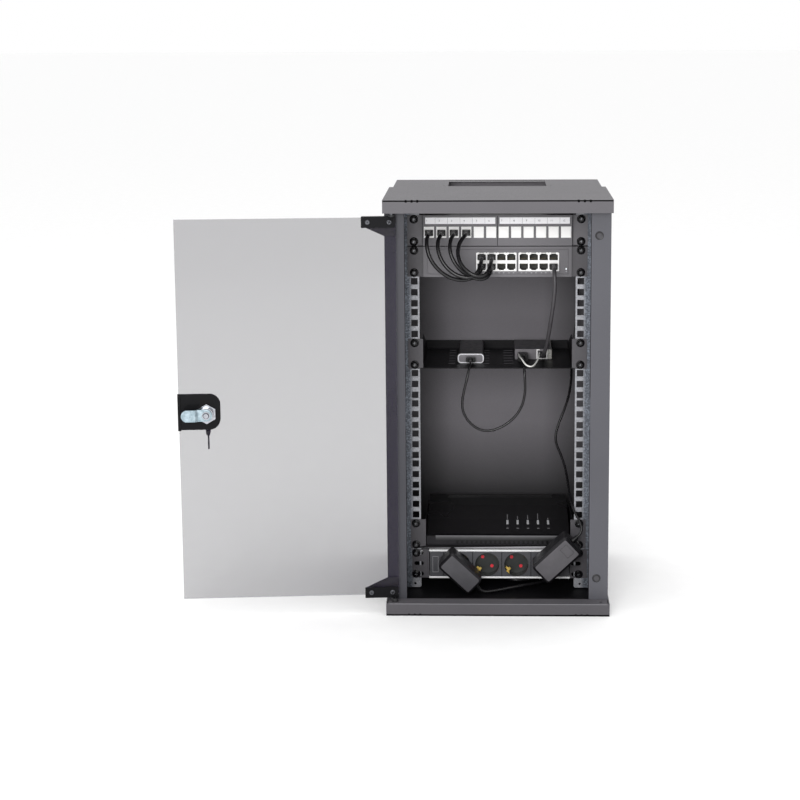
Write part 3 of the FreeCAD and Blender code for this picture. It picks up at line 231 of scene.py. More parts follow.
def plastic(name, c, rough=(0.38, 0.5), tint=0.08, grain=2600.0, depth=0.00005, spec=0.5, coat=0.0):
    """Moulded plastic with a spark-eroded grain."""
    k = Mat(name, spec=spec, coat=coat, coat_rough=0.2)
    lo, hi = [tuple(x * f for x in c[:3]) + (1,) for f in (1 - tint, 1 + tint)]
    k.color(k.ramp(k.noise(60.0, 4.0, 0.6), [(0.35, lo), (0.65, hi)]))
    k.rough(k.range(k.noise(140.0, 3.0), *rough))
    k.bump(k.voronoi(grain), depth, 0.5)
    return k.m

def bright(name, c, rough=(0.16, 0.3), tint=0.1, streak=None, depth=0.00003, scale=260.0, metal=1.0):
    """Plated or polished metal; streak is the direction of a brushed grain."""
    k = Mat(name, metal=metal)
    vec = k.mapped(streak) if streak else None
    lo, hi = [tuple(min(1.0, x * f) for x in c[:3]) + (1,) for f in (1 - tint, 1 + tint)]
    n1 = k.noise(scale, 4.0, 0.62, vec=vec)
    k.color(k.ramp(n1, [(0.32, lo), (0.68, hi)]))
    k.rough(k.range(k.noise(scale * 1.7, 3.0, vec=vec), *rough))
    k.bump(k.noise(scale * 2.4, 3.0, vec=vec), depth, 0.5)
    return k.m

# ------------------------------------------------------------------ materials
M = {}
M["shell"] = powder("shell_coat", rgb(86, 84, 88), rough=(0.44, 0.58))
# front faces of the posts: a darker copy of the shell coat, painted shade
M["shell_post"] = powder("coat_post_right_shaded", rgb(76, 76, 82), rough=(0.42, 0.55))
# rear wall's coat, darkened towards the side rails and towards the bottom: painted shade
k = Mat("shell_coat_rear_shaded", spec=0.4)
xyz = k.node("ShaderNodeSeparateXYZ"); k.link(k.co, xyz.inputs[0])
side = k.range(k.math("ABSOLUTE", xyz.outputs["X"]), 1.0, 0.42, 0.070, 0.122)
low = k.range(xyz.outputs["Z"], 0.2, 1.0, 0.105, 0.21)
fine = k.ramp(k.noise(1500, 3, 0.6), [(0.34, rgb(106, 103, 108)), (0.66, rgb(120, 117, 122))])
k.color(k.mix(1.0, fine, k.ramp(k.math("MULTIPLY", side, low), [(0.0, (0.0, 0.0, 0.0)), (1.0, (1.0, 1.0, 1.0))]), "MULTIPLY"))
k.rough(k.range(k.noise(900, 2), 0.46, 0.6))
k.bump(k.noise(825, 3, 0.6), 0.00010, 0.55)
M["shell_back"] = k.m
# left post behind the glass: a still darker copy of the shell coat, painted shade
M["shell_post_left"] = powder("coat_post_left_shaded", rgb(54, 54, 60), rough=(0.42, 0.55))
# inner faces: the shell coat darkened, painted shade
M["shell_in"] = powder("shell_coat_inner_shaded", rgb(40, 40, 44), rough=(0.46, 0.6), spec=0.25)
# inside floor of the base: the shell coat near black, painted shade
M["shell_floor"] = powder("shell_coat_floor_shaded", rgb(15, 14, 17), rough=(0.5, 0.65), spec=0.12)
M["bracket"] = powder("bracket_coat", rgb(8, 8, 11), rough=(0.34, 0.46), grain=1900, depth=0.00005, spec=0.14)
M["panel"] = powder("panel_coat", rgb(104, 102, 106), rough=(0.38, 0.5), grain=2000, depth=0.00005)
M["ears"] = powder("ear_coat", rgb(80, 78, 82), rough=(0.36, 0.48), grain=2000, depth=0.00005)
M["shelf"] = powder("shelf_coat", rgb(17, 16, 19), rough=(0.42, 0.54), grain=2000, depth=0.00006, spec=0.2)
M["device"] = plastic("device_shell", rgb(28, 27, 30), rough=(0.3, 0.42))
k = Mat("router_shell", rough=0.3, spec=0.3)
k.color(k.ramp(k.noise(4.0, 2), [(0.3, rgb(12, 11, 13)), (0.7, rgb(17, 16, 18))]))
k.rough(k.range(k.noise(9.0, 2), 0.26, 0.36))
M["router"] = k.m
# router's grey front lip, darker towards its lower edge: painted shade over the lip's grey
k = Mat("router_front", rough=0.35, spec=0.35)
xyz = k.node("ShaderNodeSeparateXYZ"); k.link(k.co, xyz.inputs[0])
lip_shade = k.ramp(k.range(xyz.outputs["Z"], 0.0, 1.0, 0.0745, 0.0815), [(0.0, (0.10, 0.10, 0.10)), (0.45, (0.35, 0.35, 0.35)), (1.0, (1.0, 1.0, 1.0))])
k.color(k.mix(1.0, k.ramp(k.noise(60.0, 4, 0.6), [(0.35, rgb(124, 123, 126)), (0.65, rgb(134, 133, 136))]), lip_shade, "MULTIPLY"))
k.rough(k.range(k.noise(140.0, 3), 0.3, 0.42))
M["router_front"] = k.m
M["adapter"] = plastic("adapter_shell", rgb(28, 27, 30), rough=(0.34, 0.46), grain=1900, depth=0.00006)
M["adapter_light"] = plastic("adapter_face", rgb(84, 82, 86), rough=(0.34, 0.46), grain=1900, depth=0.00006)
M["adapter_mid"] = plastic("adapter_face_left", rgb(74, 73, 77), rough=(0.34, 0.46), grain=1900, depth=0.00006)
# near black for slots, openings and seams: painted shade in slot walls, recesses and under lips, and the dark of real
# joints
M["gap"] = plastic("gap_and_painted_shade", rgb(5, 5, 6), rough=(0.6, 0.75), grain=900, spec=0.05)
M["plug"] = plastic("plug_moulding", rgb(14, 14, 16), rough=(0.32, 0.44), spec=0.35)
M["vent_face"] = plastic("router_vent_face", rgb(38, 37, 40), rough=(0.4, 0.5), spec=0.2)
# front of the base's lip: a darker copy of the shell coat, painted shade
M["shell_low"] = powder("shell_coat_low_shaded", rgb(72, 70, 74), rough=(0.44, 0.58))
M["brass_shade"] = bright("brass_shaded", rgb(46, 40, 28), rough=(0.3, 0.44), metal=0.3)
M["rim"] = bright("bright_rim", rgb(226, 226, 230), rough=(0.26, 0.38), scale=900, metal=0.25)
# light grey for the shelf's vent slot edges: painted highlight
M["slot_edge_highlight"] = plastic("slot_edge_highlight", rgb(92, 91, 95), rough=(0.4, 0.5), grain=900)
M["nylon"] = plastic("nylon_washer", rgb(28, 28, 30), rough=(0.4, 0.55))
M["rubber"] = plastic("bumper_rubber", rgb(62, 61, 65), rough=(0.5, 0.65), grain=1200)
M["white"] = plastic("jack_white", rgb(252, 251, 250), rough=(0.3, 0.42), tint=0.02)
# port hollows: the white jack plastic darkened, painted shade
M["jack_in"] = plastic("jack_inside_shade", rgb(62, 61, 56), rough=(0.4, 0.55), grain=900)
M["line"] = plastic("fine_line", rgb(150, 149, 153), rough=(0.5, 0.6), grain=900)
M["line_dim"] = plastic("fine_line_dim", rgb(112, 111, 115), rough=(0.5, 0.6), grain=900)
M["ink"] = plastic("number_ink", rgb(92, 91, 96), rough=(0.5, 0.6), grain=900)
M["pdu_plastic"] = plastic("socket_moulding", rgb(72, 72, 76), rough=(0.32, 0.44))
# socket wells: the socket moulding darkened, painted shade
M["socket_well_shaded"] = plastic("socket_well_shaded", rgb(52, 54, 53), rough=(0.32, 0.44))
M["red"] = plastic("shutter_red", rgb(226, 64, 74), rough=(0.22, 0.32))
M["board"] = plastic("terminal_board", rgb(46, 92, 66), rough=(0.4, 0.55), grain=900)
M["indicator"] = plastic("light_pipe", rgb(206, 207, 210), rough=(0.2, 0.3), tint=0.04)
M["zinc_fastener"] = bright("zinc_plate", rgb(92, 93, 97), rough=(0.3, 0.44), tint=0.2)
# grey for the cross recesses of the black screws: painted highlight
M["recess"] = bright("recess_highlight", rgb(128, 129, 134), rough=(0.24, 0.4))
M["lock_chrome"] = bright("lock_chrome", rgb(158, 160, 166), rough=(0.14, 0.26), tint=0.22, scale=180)
M["cage_nut"] = bright("cage_nut_steel", rgb(150, 150, 152), rough=(0.28, 0.42))
M["brass"] = bright("brass_contact", rgb(255, 216, 120), rough=(0.24, 0.36), metal=0.6)
M["alu"] = bright("anodised_profile", rgb(250, 250, 252), rough=(0.3, 0.4), streak=(0.02, 1, 1), scale=1600, depth=0.00002, metal=0.2)
M["silver"] = bright("silver_bezel", rgb(176, 174, 178), rough=(0.34, 0.46), scale=900, depth=0.00002, metal=0.6)
M["silver_face"] = bright("silver_face", rgb(112, 110, 114), rough=(0.36, 0.5), scale=900, depth=0.00002, metal=0.4)
M["speckle"] = bright("mottled_metal", rgb(150, 149, 145), rough=(0.3, 0.5), tint=0.45, scale=700, metal=0.4)
M["contact"] = bright("port_contact", rgb(110, 104, 84), rough=(0.3, 0.45), metal=0.6)
M["case_grey"] = plastic("converter_front", rgb(112, 109, 113), rough=(0.34, 0.46), grain=1600)
M["cord"] = plastic("cord_jacket", rgb(22, 21, 23), rough=(0.24, 0.34), grain=1400, depth=0.00002)
M["cord_grey"] = plastic("cord_jacket_grey", rgb(66, 64, 67), rough=(0.34, 0.46), grain=1400, depth=0.00003)
M["tie"] = plastic("tie_white", rgb(236, 236, 232), rough=(0.3, 0.4), tint=0.03)
M["label"] = plastic("label_strip", rgb(252, 251, 254), rough=(0.22, 0.3), tint=0.012, grain=600, depth=0.000005)
k = Mat("black_oxide", rough=0.22, metal=0.0, spec=0.5, coat=0.12, coat_rough=0.1)
k.color(k.ramp(k.noise(220, 3), [(0.35, rgb(9, 9, 11)), (0.65, rgb(17, 16, 19))]))
k.rough(k.range(k.noise(420, 3), 0.2, 0.34))
k.bump(k.noise(900, 2), 0.00003, 0.4)
M["black_screw"] = k.m

# small glowing light on the switch
k = Mat("status_light", rough=0.3)
k.color(k.ramp(k.noise(900, 2), [(0.35, rgb(236, 240, 246)), (0.65, rgb(252, 253, 255))]))
k.set("Emission Color", (0.92, 0.95, 1.0, 1.0)); k.set("Emission Strength", 0.8)
M["led"] = k.m

# galvanised sheet: spangle cells over fine mottling, the punched strip by the opening lighter
k = Mat("galvanised", metal=0.35)
cell = k.voronoi(620, out="Color")
sep = k.node("ShaderNodeSeparateColor"); k.link(cell, sep.inputs[0])
sp = k.ramp(sep.outputs[0], [(0.0, rgb(80, 84, 91)), (0.5, rgb(98, 102, 110)), (1.0, rgb(134, 140, 150))])
mott = k.ramp(k.noise(900, 4, 0.7), [(0.34, (0.62, 0.64, 0.67)), (0.52, (1.0, 1.0, 1.0)), (0.68, (1.2, 1.21, 1.23))])
xyz = k.node("ShaderNodeSeparateXYZ"); k.link(k.co, xyz.inputs[0])
side = k.math("ABSOLUTE", xyz.outputs["X"])
near = k.range(side, 1.0, 0.0, 0.1205, 0.1262)
base = k.mix(0.85, sp, mott, "MULTIPLY")
k.color(k.mix(near, base, k.ramp(sep.outputs[2], [(0.0, rgb(148, 149, 154)), (1.0, rgb(176, 177, 182))])))
k.rough(k.range(sep.outputs[1], 0.36, 0.58, 0.0, 1.0))
k.bump(k.noise(700, 3, 0.6), 0.00004, 0.4)
M["zinc"] = k.m
k = Mat("galvanised_edge", metal=0.5)
k.color(k.ramp(k.noise(900, 3), [(0.3, rgb(196, 198, 204)), (0.7, rgb(232, 233, 238))]))
k.rough(k.range(k.noise(600, 3), 0.3, 0.45))
M["zinc_edge"] = k.m
# zinc plated cam
k = Mat("zinc_cam", metal=0.75)
k.color(k.ramp(k.noise(170, 4, 0.6), [(0.3, rgb(116, 134, 142)), (0.7, rgb(172, 188, 196))]))
k.rough(k.range(k.noise(500, 3), 0.3, 0.46))
k.bump(k.noise(800, 2), 0.00004, 0.5)
M["cam"] = k.m

# tinted safety glass: both faces tint, so each keeps about three quarters
k = Mat("tinted_glass", rough=0.04, spec=0.25, alpha=0.275)
k.color(k.ramp(k.noise(2.2, 2), [(0.3, rgb(38, 32, 49)), (0.7, rgb(44, 37, 55))]))
k.rough(k.range(k.noise(14.0, 3), 0.03, 0.06))
M["glass"] = k.m
# edges of the pane: more opaque, and light grey as a painted highlight
k = Mat("glass_edge_highlight", rough=0.12, spec=0.6, alpha=0.75)
k.color(k.ramp(k.noise(90.0, 2), [(0.3, rgb(186, 187, 192)), (0.7, rgb(206, 207, 211))]))
k.rough(k.range(k.noise(200.0, 2), 0.1, 0.2))
M["glass_edge_highlight"] = k.m

def dress(node, mat, bevel=0.0, seg=2, angle=32.0, weld=0.000005):
    """Gives a CAD node its material, and soft edges by modifiers."""
    o = N[node]
    o.data.materials.clear()
    o.data.materials.append(mat)
    if bevel:
        w = o.modifiers.new("weld", "WELD"); w.merge_threshold = weld
        d = o.modifiers.new("flat", "DECIMATE"); d.decimate_type = "DISSOLVE"; d.angle_limit = math.radians(0.6)
        d.delimit = {"MATERIAL"}
        b = o.modifiers.new("edge", "BEVEL"); b.width = bevel; b.segments = seg; b.limit_method = "ANGLE"
        b.angle_limit = math.radians(angle); b.use_clamp_overlap = True; b.miter_outer = "MITER_ARC"
        n = o.modifiers.new("shade", "WEIGHTED_NORMAL"); n.keep_sharp = False; n.weight = 80
    return o

def paint(node, mat, test):
    """Gives the faces that pass test(centre in mm, normal) their own material."""
    o = N[node] if isinstance(node, str) else node
    o.data.materials.append(mat)
    i = len(o.data.materials) - 1
    for p in o.data.polygons:
        if test(p.center * 1000.0, p.normal):
            p.material_index = i
    return o

B = 0.00035
for n in ("base_cover", "top_cover", "left_side_panel", "right_side_panel", "rear_panel"):
    dress(n, M["shell"], B)
# inside floor of the base painted near black: painted shade
paint("base_cover", M["shell_floor"], lambda c, n: n.z > 0.5 and c.z < 4.0 and abs(c.x) < 155 and -149 < c.y < 149)
# underside of the top cover in the darkened coat: painted shade
paint("top_cover", M["shell_in"], lambda c, n: n.z < -0.5 and c.z > 575.0)
VENT_X = (-124.0, -116.0, -108.5, 108.9, 117.0, 125.0)
for n in ("base_cover", "top_cover"):
    # walls of the vent slots in the lips painted near black: painted shade
    paint(n, M["gap"], lambda c, n: -150.2 < c.y < -145.9 and min(abs(c.x - x) for x in VENT_X) < 1.5 and (c.z < 3.3 or c.z > 580.7))
# front of the base's lip in the darker copy: painted shade
paint("base_cover", M["shell_low"], lambda c, n: n.y < -0.9 and c.y < -149.5)
for n, sx in (("left_side_panel", 1.0), ("right_side_panel", -1.0)):
    # post faces in the darker copies of the shell coat: painted shade, the left post darkest
    paint(n, M["shell_post_left" if sx > 0 else "shell_post"], lambda c, n: n.y < -0.5 and c.y < -120)
    # inner faces of the side panels in the darkened coat: painted shade
    paint(n, M["shell_in"], lambda c, n: n.x * sx > 0.5 and c.y > -128.9)
# the rear wall's front face takes the coat with painted shade towards its sides and bottom
paint("rear_panel", M["shell_back"], lambda c, n: n.y < -0.5)
for n in ("left_rack_rail", "right_rack_rail"):
    dress(n, M["zinc"])
    paint(n, M["zinc_edge"], lambda c, n: abs(n.y) < 0.5 and abs(abs(c.x) - 118.26) < 7.3 and c.y < -29.0)
for n in ("upper_hinge_bracket", "lower_hinge_bracket", "lock_bracket"):
    dress(n, M["bracket"], 0.0003)
dress("patch_panel", M["panel"])
dress("switch_case", M["panel"])
dress("equipment_ears", M["ears"])
dress("device_shelf", M["shelf"])
paint("device_shelf", M["ears"], lambda c, n: abs(c.x) > 106.3 and c.y < -31)
dress("router_shelf", M["shelf"])
# front edge face of the router shelf in light grey: painted highlight
paint("router_shelf", M["line"], lambda c, n: n.y < -0.9 and c.y < -33.0 and c.z < 64.0 and abs(c.x) < 103)
paint("router_shelf", M["ears"], lambda c, n: (c.x < -104.0 or c.x > 105.7) and c.y < -31)
dress("router_case", M["router"])
paint("router_case", M["vent_face"], lambda c, n: n.y < -0.9 and -28.1 < c.y < -27.9 and c.z < 74.0)
# router's front lip: grey with painted shade towards its lower edge
paint("router_case", M["router_front"], lambda c, n: c.y < -28.2 and 73.0 < c.z < 82.5 and -91 < c.x < 93)
dress("usb_device", M["device"], 0.0006, 3)
paint("usb_device", M["silver"], lambda c, n: c.y < 1.6)
paint("usb_device", M["silver_face"], lambda c, n: c.y < -0.9 and n.y < -0.9)
paint("usb_device", M["gap"], lambda c, n: -45.0 < c.x < -32.0 and 334.0 < c.z < 340.0 and c.y > -0.9)
dress("converter_case", M["case_grey"], 0.0003)
paint("converter_case", M["device"], lambda c, n: n.z > 0.5 and c.z > 345.0)
paint("converter_case", M["speckle"], lambda c, n: c.x > 72.9)
def turned(cx, cz, deg):
    a = math.radians(deg)
    return lambda c: ((c.x - cx) * math.cos(a) - (c.z - cz) * math.sin(a), (c.x - cx) * math.sin(a) + (c.z - cz) * math.cos(a))
dress("left_power_adapter", M["adapter"], 0.0006, 3)
paint("left_power_adapter", M["adapter_mid"], lambda c, n: n.y < -0.9 and c.y < -60)
dress("right_power_adapter", M["adapter"], 0.0006, 3)
paint("right_power_adapter", M["adapter_light"], lambda c, n: n.y < -0.9 and c.y < -70)
dress("pdu_profile", M["alu"], 0.0003)
dress("pdu_socket_modules", M["pdu_plastic"])
SX, SCZ = (-57.3, -14.9, 27.5, 69.9), 38.6
# socket wells and deeper faces darkened: painted shade
paint("pdu_socket_modules", M["socket_well_shaded"], lambda c, n: c.y > -34.0 or min(math.hypot(c.x - x, c.z - SCZ) for x in SX) < 17.7)
dress("pdu_earth_clips", M["brass"])
paint("pdu_earth_clips", M["brass_shade"], lambda c, n: c.z > 38.6)
dress("pdu_shutters", M["red"], 0.0)
dress("pdu_inlet", M["plug"], 0.0003)
dress("patch_jacks", M["white"])
dress("switch_jacks", M["white"])
SWX, SZ = (-22.4, -8.4, 5.6, 19.6, 37.3, 51.3, 65.4, 79.4), (477.0, 491.2)
# inside of the switch ports darkened: painted shade
paint("switch_jacks", M["jack_in"], lambda c, n: c.y > -36.9 and min(abs(c.x - x) for x in SWX) < 6.4 and min(abs(c.z - z) for z in SZ) < 6.5 and abs(c.x - 28.4) < 57.5)
PX = [-96.8 + 17.6 * i for i in range(12)]
# inside of the open patch ports darkened: painted shade
paint("patch_jacks", M["jack_in"], lambda c, n: c.y > -36.0 and min(abs(c.x - x) for x in PX) < 6.2 and abs(c.z - 526.35) < 6.2 and c.x < -35)
dress("patch_labels", M["label"])
dress("patch_rear_blocks", M["board"], 0.0003)
dress("router_indicators", M["indicator"], 0.0002)
dress("panel_screws", M["black_screw"])
dress("rack_screws", M["black_screw"])
U = 44.45
RSZ = [17.4 + (12 - u) * U + d for u in (1, 2, 5, 11, 12) for d in (6.35, 38.1)]
# cross recesses of the rack screws painted light grey: painted highlight
paint("rack_screws", M["recess"], lambda c, n: c.y < -32.0 and n.y < -0.9 and min(math.hypot(abs(c.x) - 118.26, c.z - z) for z in RSZ) < 1.6)
dress("cage_nuts", M["cage_nut"])
dress("door_bumpers", M["rubber"])
# left bumpers take the left post's coat with its painted shade
paint("door_bumpers", M["shell_post_left"], lambda c, n: c.x < 0)
dress("earth_stud", M["brass"])
dress("door_glass", M["glass"])
# edge faces of the pane: painted highlight
paint("door_glass", M["glass_edge_highlight"], lambda c, n: abs(n.x * 0.0837 - n.y * 0.9965) < 0.5)
dress("hinge_clamp_screws", M["zinc_fastener"])
dress("hinge_pads_and_washers", M["nylon"])
dress("hinge_pins", M["zinc_fastener"])
dress("lock_barrel", M["lock_chrome"])
dress("lock_nut", M["lock_chrome"])
dress("lock_rotor", M["lock_chrome"])
dress("lock_cam", M["cam"], 0.0003)
dress("cam_screw", M["lock_chrome"])
dress("lock_key", M["plug"], 0.0003)
dress("spare_key", M["plug"], 0.0003)
dress("key_ring", M["zinc_fastener"])
dress("data_plugs", M["plug"], 0.0003)
dress("usb_lead_plugs", M["plug"], 0.0003)
dress("supply_plugs", M["plug"])
dress("strain_reliefs", M["plug"])
for n, o in CORDS.items():
    o.data.materials.append(M["tie"] if n == "white_tie" else M["cord_grey"] if n == "uplink_cord" else M["cord"])

# ------------------------------------------------------------------ added detail pieces
def piece(name, bm, mat, body, smooth=False):
    """Turns a finished bmesh (metres) into a piece that rides on a body."""
    me = bpy.data.meshes.new(name)
    bmesh.ops.recalc_face_normals(bm, faces=bm.faces)
    bm.to_mesh(me)
    bm.free()
    for f in me.polygons:
        f.use_smooth = smooth
    me.materials.append(mat)
    o = bpy.data.objects.new(name, me)
    scene.collection.objects.link(o)
    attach(o, body)
    return o

def slab(bm, lo, hi, chamfer=0.15, mtx=None):
    """A chamfered slab in mm, facing -Y, its front edges cut back."""
    x0, y0, z0 = lo
    x1, y1, z1 = hi
    k = min(chamfer, (x1 - x0) * 0.3, (z1 - z0) * 0.3, (y1 - y0) * 0.8)
    ring = [[(x0, z0), (x1, z0), (x1, z1), (x0, z1)], [(x0, z0), (x1, z0), (x1, z1), (x0, z1)], [(x0 + k, z0 + k), (x1 - k, z0 + k), (x1 - k, z1 - k), (x0 + k, z1 - k)]]
    ys = [y1, y0 + k, y0]
    vs = []
    for r, y in zip(ring, ys):
        row = []
        for x, z in r:
            v = Vector((x, y, z))
            if mtx:
                v = mtx @ v
            row.append(bm.verts.new(v / 1000.0))
        vs.append(row)
    for a, b in zip(vs, vs[1:]):
        for i in range(4):
            bm.faces.new((a[i], a[(i + 1) % 4], b[(i + 1) % 4], b[i]))
    bm.faces.new(vs[0][::-1])
    bm.faces.new(vs[2])

def disc(bm, c, r, y0, y1, n=20, mtx=None, dish=0.0):
    """A short round boss in mm along Y with a dished front."""
    rows = []
    for y, rr in ((y1, r), (y0 + 0.15, r), (y0, r - 0.15), (y0 + dish, r * 0.45)):
        row = []
        for i in range(n):
            a = 2 * math.pi * i / n
            v = Vector((c[0] + rr * math.cos(a), y, c[1] + rr * math.sin(a)))
            row.append(bm.verts.new((mtx @ v if mtx else v) / 1000.0))
        rows.append(row)
    for a, b in zip(rows, rows[1:]):
        for i in range(n):
            bm.faces.new((a[i], a[(i + 1) % n], b[(i + 1) % n], b[i]))
    bm.faces.new(rows[0][::-1])
    bm.faces.new(rows[-1])

# port numbers on the label strips, raised by a hair like printed ink
bm = bmesh.new()
for i, x in enumerate(PX):
    fc = bpy.data.curves.new("number", "FONT")
    fc.body = str(i + 1)
    fc.size = 0.0036
    fc.extrude = 0.00006
    fc.align_x = "CENTER"
    ob = bpy.data.objects.new("number", fc)
    me = bpy.data.meshes.new_from_object(ob)
    me.transform(Matrix.Translation((x / 1000.0 - 0.003, -0.03756, 0.5416)) @ Matrix.Rotation(math.radians(90), 4, "X"))
    bm.from_mesh(me)
    bpy.data.objects.remove(ob)
    bpy.data.curves.remove(fc)
    bpy.data.meshes.remove(me)
piece("port_numbers", bm, M["ink"], "cabinet")

# fine division lines on the label strips, and the lip above each closed port
bm = bmesh.new()
for i in range(1, 12):
    x = PX[i] - 8.8
    if i != 6:
        slab(bm, (x - 0.16, -37.56, 538.6), (x + 0.16, -37.4, 547.0), 0.02)
piece("label_divisions", bm, M["line"], "cabinet")
bm = bmesh.new()
for i in range(4, 12):
    x = PX[i]
    slab(bm, (x - 6.7, -38.0, 519.0), (x + 6.7, -36.4, 531.2), 0.35)
    slab(bm, (x - 6.7, -37.7, 531.7), (x + 6.7, -36.4, 533.8), 0.3)
piece("port_shutters", bm, M["white"], "cabinet")

# switch front: raised border, light and the row of port marks
bm = bmesh.new()
for lo, hi in (((-99.6, -37.85, 501.2), (100.0, -37.3, 501.9)), ((-99.6, -37.85, 466.2), (100.0, -37.3, 466.9)), ((-99.6, -37.85, 466.9), (-99.0, -37.3, 501.2)), ((99.4, -37.85, 466.9), (100.0, -37.3, 501.2))):
    slab(bm, lo, hi, 0.18)
piece("switch_border", bm, M["panel"], "cabinet")
bm = bmesh.new()
slab(bm, (96.6, -37.9, 473.0), (98.2, -37.2, 475.0), 0.3)
piece("switch_light", bm, M["led"], "cabinet")
bm = bmesh.new()
for x in SWX:
    for dx in (-3.2, 3.2):
        slab(bm, (x + dx - 0.8, -37.7, 467.9), (x + dx + 0.8, -37.3, 469.0), 0.1)
slab(bm, (96.4, -37.7, 469.9), (98.4, -37.3, 470.6), 0.1)
piece("switch_marks", bm, M["silver"], "cabinet")

# gold contacts inside the open switch ports
bm = bmesh.new()
for x in SWX:
    for z, up_ in zip(SZ, (-1, 1)):
        for j in range(8):
            xx = x - 3.55 + j * 1.015
            slab(bm, (xx - 0.2, -31.0, z - up_ * 3.2 - 0.9), (xx + 0.2, -29.0, z - up_ * 3.2 + 0.9), 0.08)
piece("port_contacts", bm, M["contact"], "cabinet")

# latch notches: white corners leave each port's opening narrower on its latch side
bm = bmesh.new()
for x in SWX:
    for z, up_ in zip(SZ, (-1, 1)):
        for sx in (-1, 1):
            tri = [(x + sx * u, z + up_ * v) for u, v in ((6.3, 6.3), (6.3, 2.7), (4.7, 3.1), (3.4, 4.1), (3.4, 6.3))]
            f = [bm.verts.new((px / 1000.0, -0.0373, pz / 1000.0)) for px, pz in tri]
            g = [bm.verts.new((px / 1000.0, -0.0335, pz / 1000.0)) for px, pz in tri]
            bm.faces.new(f); bm.faces.new(g[::-1])
            for i in range(5):
                bm.faces.new((f[i], g[i], g[(i + 1) % 5], f[(i + 1) % 5]))
piece("port_notches", bm, M["white"], "cabinet")

# router: light marks above and below each light
bm = bmesh.new()
def on_top(y):
    pts = ((-26.0, 81.05), (24.0, 89.85), (74.0, 97.25), (120.0, 101.65))
    for (a, za), (b, zb) in zip(pts, pts[1:]):
        if a <= y <= b:
            return za + (zb - za) * (y - a) / (b - a)
    return 101.65
def strip(bm, x0, x1, y0, y1, h=0.12):
    za, zb = on_top(y0), on_top(y1)
    vs = [bm.verts.new(Vector(v) / 1000.0) for v in ((x0, y0, za - 0.3), (x1, y0, za - 0.3), (x1, y1, zb - 0.3), (x0, y1, zb - 0.3), (x0, y0, za + h), (x1, y0, za + h), (x1, y1, zb + h), (x0, y1, zb + h))]
    for f in ((0, 3, 2, 1), (4, 5, 6, 7), (0, 1, 5, 4), (1, 2, 6, 5), (2, 3, 7, 6), (3, 0, 4, 7)):
        bm.faces.new([vs[i] for i in f])
for i, x in enumerate((15.0, 30.0, 45.0, 60.0, 75.0)):
    strip(bm, x - 0.5, x + 0.5, 23.9, (40.0, 34.0, 38.0, 44.0, 28.0)[i])
    strip(bm, x - 1.6, x + 1.6, -6.5, -4.8)
piece("router_marks", bm, M["line"], "cabinet")

# socket strip: bare plate at its left end, seams between the modules
bm = bmesh.new()
for lo, hi in (((-94.6, -36.05, 27.0), (-94.0, -35.5, 51.0)), ((-86.6, -36.05, 27.0), (-86.0, -35.5, 51.0)), ((-94.0, -36.05, 27.0), (-86.6, -35.5, 27.6)), ((-94.0, -36.05, 50.4), (-86.6, -35.5, 51.0))):
    slab(bm, lo, hi, 0.12)
piece("plate_border", bm, M["line"], "cabinet")
bm = bmesh.new()
for x in (-78.5, -36.1, 6.3, 48.7, 91.1):
    slab(bm, (x - 0.5, -35.85, 20.8), (x + 0.5, -35.3, 57.9), 0.1)
piece("module_seams", bm, M["plug"], "cabinet")

# adapters: inset outline on the right one's face
A = Matrix.Translation((84.2, 0.0, 58.6)) @ Matrix.Rotation(math.radians(43.5), 4, "Y").inverted()
bm = bmesh.new()
for lo, hi in (((14.0, -79.0, -9.0), (14.5, -78.7, 8.0)), ((26.0, -79.0, -9.0), (26.5, -78.7, 8.0)), ((14.5, -79.0, -9.0), (26.0, -78.7, -8.5)), ((14.5, -79.0, 7.5), (26.0, -78.7, 8.0))):
    slab(bm, (lo[0], lo[1] - 0.0, lo[2]), hi, 0.05, mtx=A)
o = piece("adapter_outline", bm, M["adapter"], "cabinet")

# converter: white frame of its port, pale mottled end
bm = bmesh.new()
for lo, hi in (((57.2, 27.4, 331.4), (59.0, 28.8, 345.6)), ((71.6, 27.4, 331.4), (73.4, 28.8, 345.6)), ((59.0, 27.4, 344.0), (62.2, 28.8, 345.6)), ((68.4, 27.4, 344.0), (71.6, 28.8, 345.6)), ((59.0, 27.4, 331.4), (71.6, 28.8, 332.6))):
    slab(bm, lo, hi, 0.3)
piece("converter_port_frame", bm, M["white"], "cabinet")
bm = bmesh.new()
slab(bm, (74.0, 27.6, 331.2), (79.7, 28.8, 345.6), 0.5)
piece("converter_end", bm, M["speckle"], "cabinet")

# earth contacts at the lower left of each free socket, folded from strip
bm = bmesh.new()
for x in (-14.9, 27.5):
    R = Matrix.Translation((x - 11.0, 0.0, SCZ - 7.2)) @ Matrix.Rotation(math.radians(35), 4, "Y")
    slab(bm, (-1.7, -34.6, -3.0), (1.9, -33.6, 3.0), 0.4, mtx=R)
    slab(bm, (-5.0, -33.8, -1.6), (-1.6, -32.4, 1.4), 0.35, mtx=R)
    slab(bm, (-1.4, -34.0, -6.0), (0.6, -32.6, -2.9), 0.35, mtx=R)
piece("earth_leaves", bm, M["brass"], "cabinet")

# light catching the top edge of the base's lip
bm = bmesh.new()
slab(bm, (-152.8, -150.04, 16.8), (152.8, -149.7, 17.7), 0.02)
piece("lip_edge", bm, M["line_dim"], "cabinet")

# bright front lips of the socket strip's profile
bm = bmesh.new()
slab(bm, (-99.4, -36.25, 58.9), (105.4, -35.6, 60.7), 0.25)
slab(bm, (-99.4, -36.25, 18.0), (105.4, -35.6, 19.8), 0.25)
piece("profile_lips", bm, M["alu"], "cabinet")

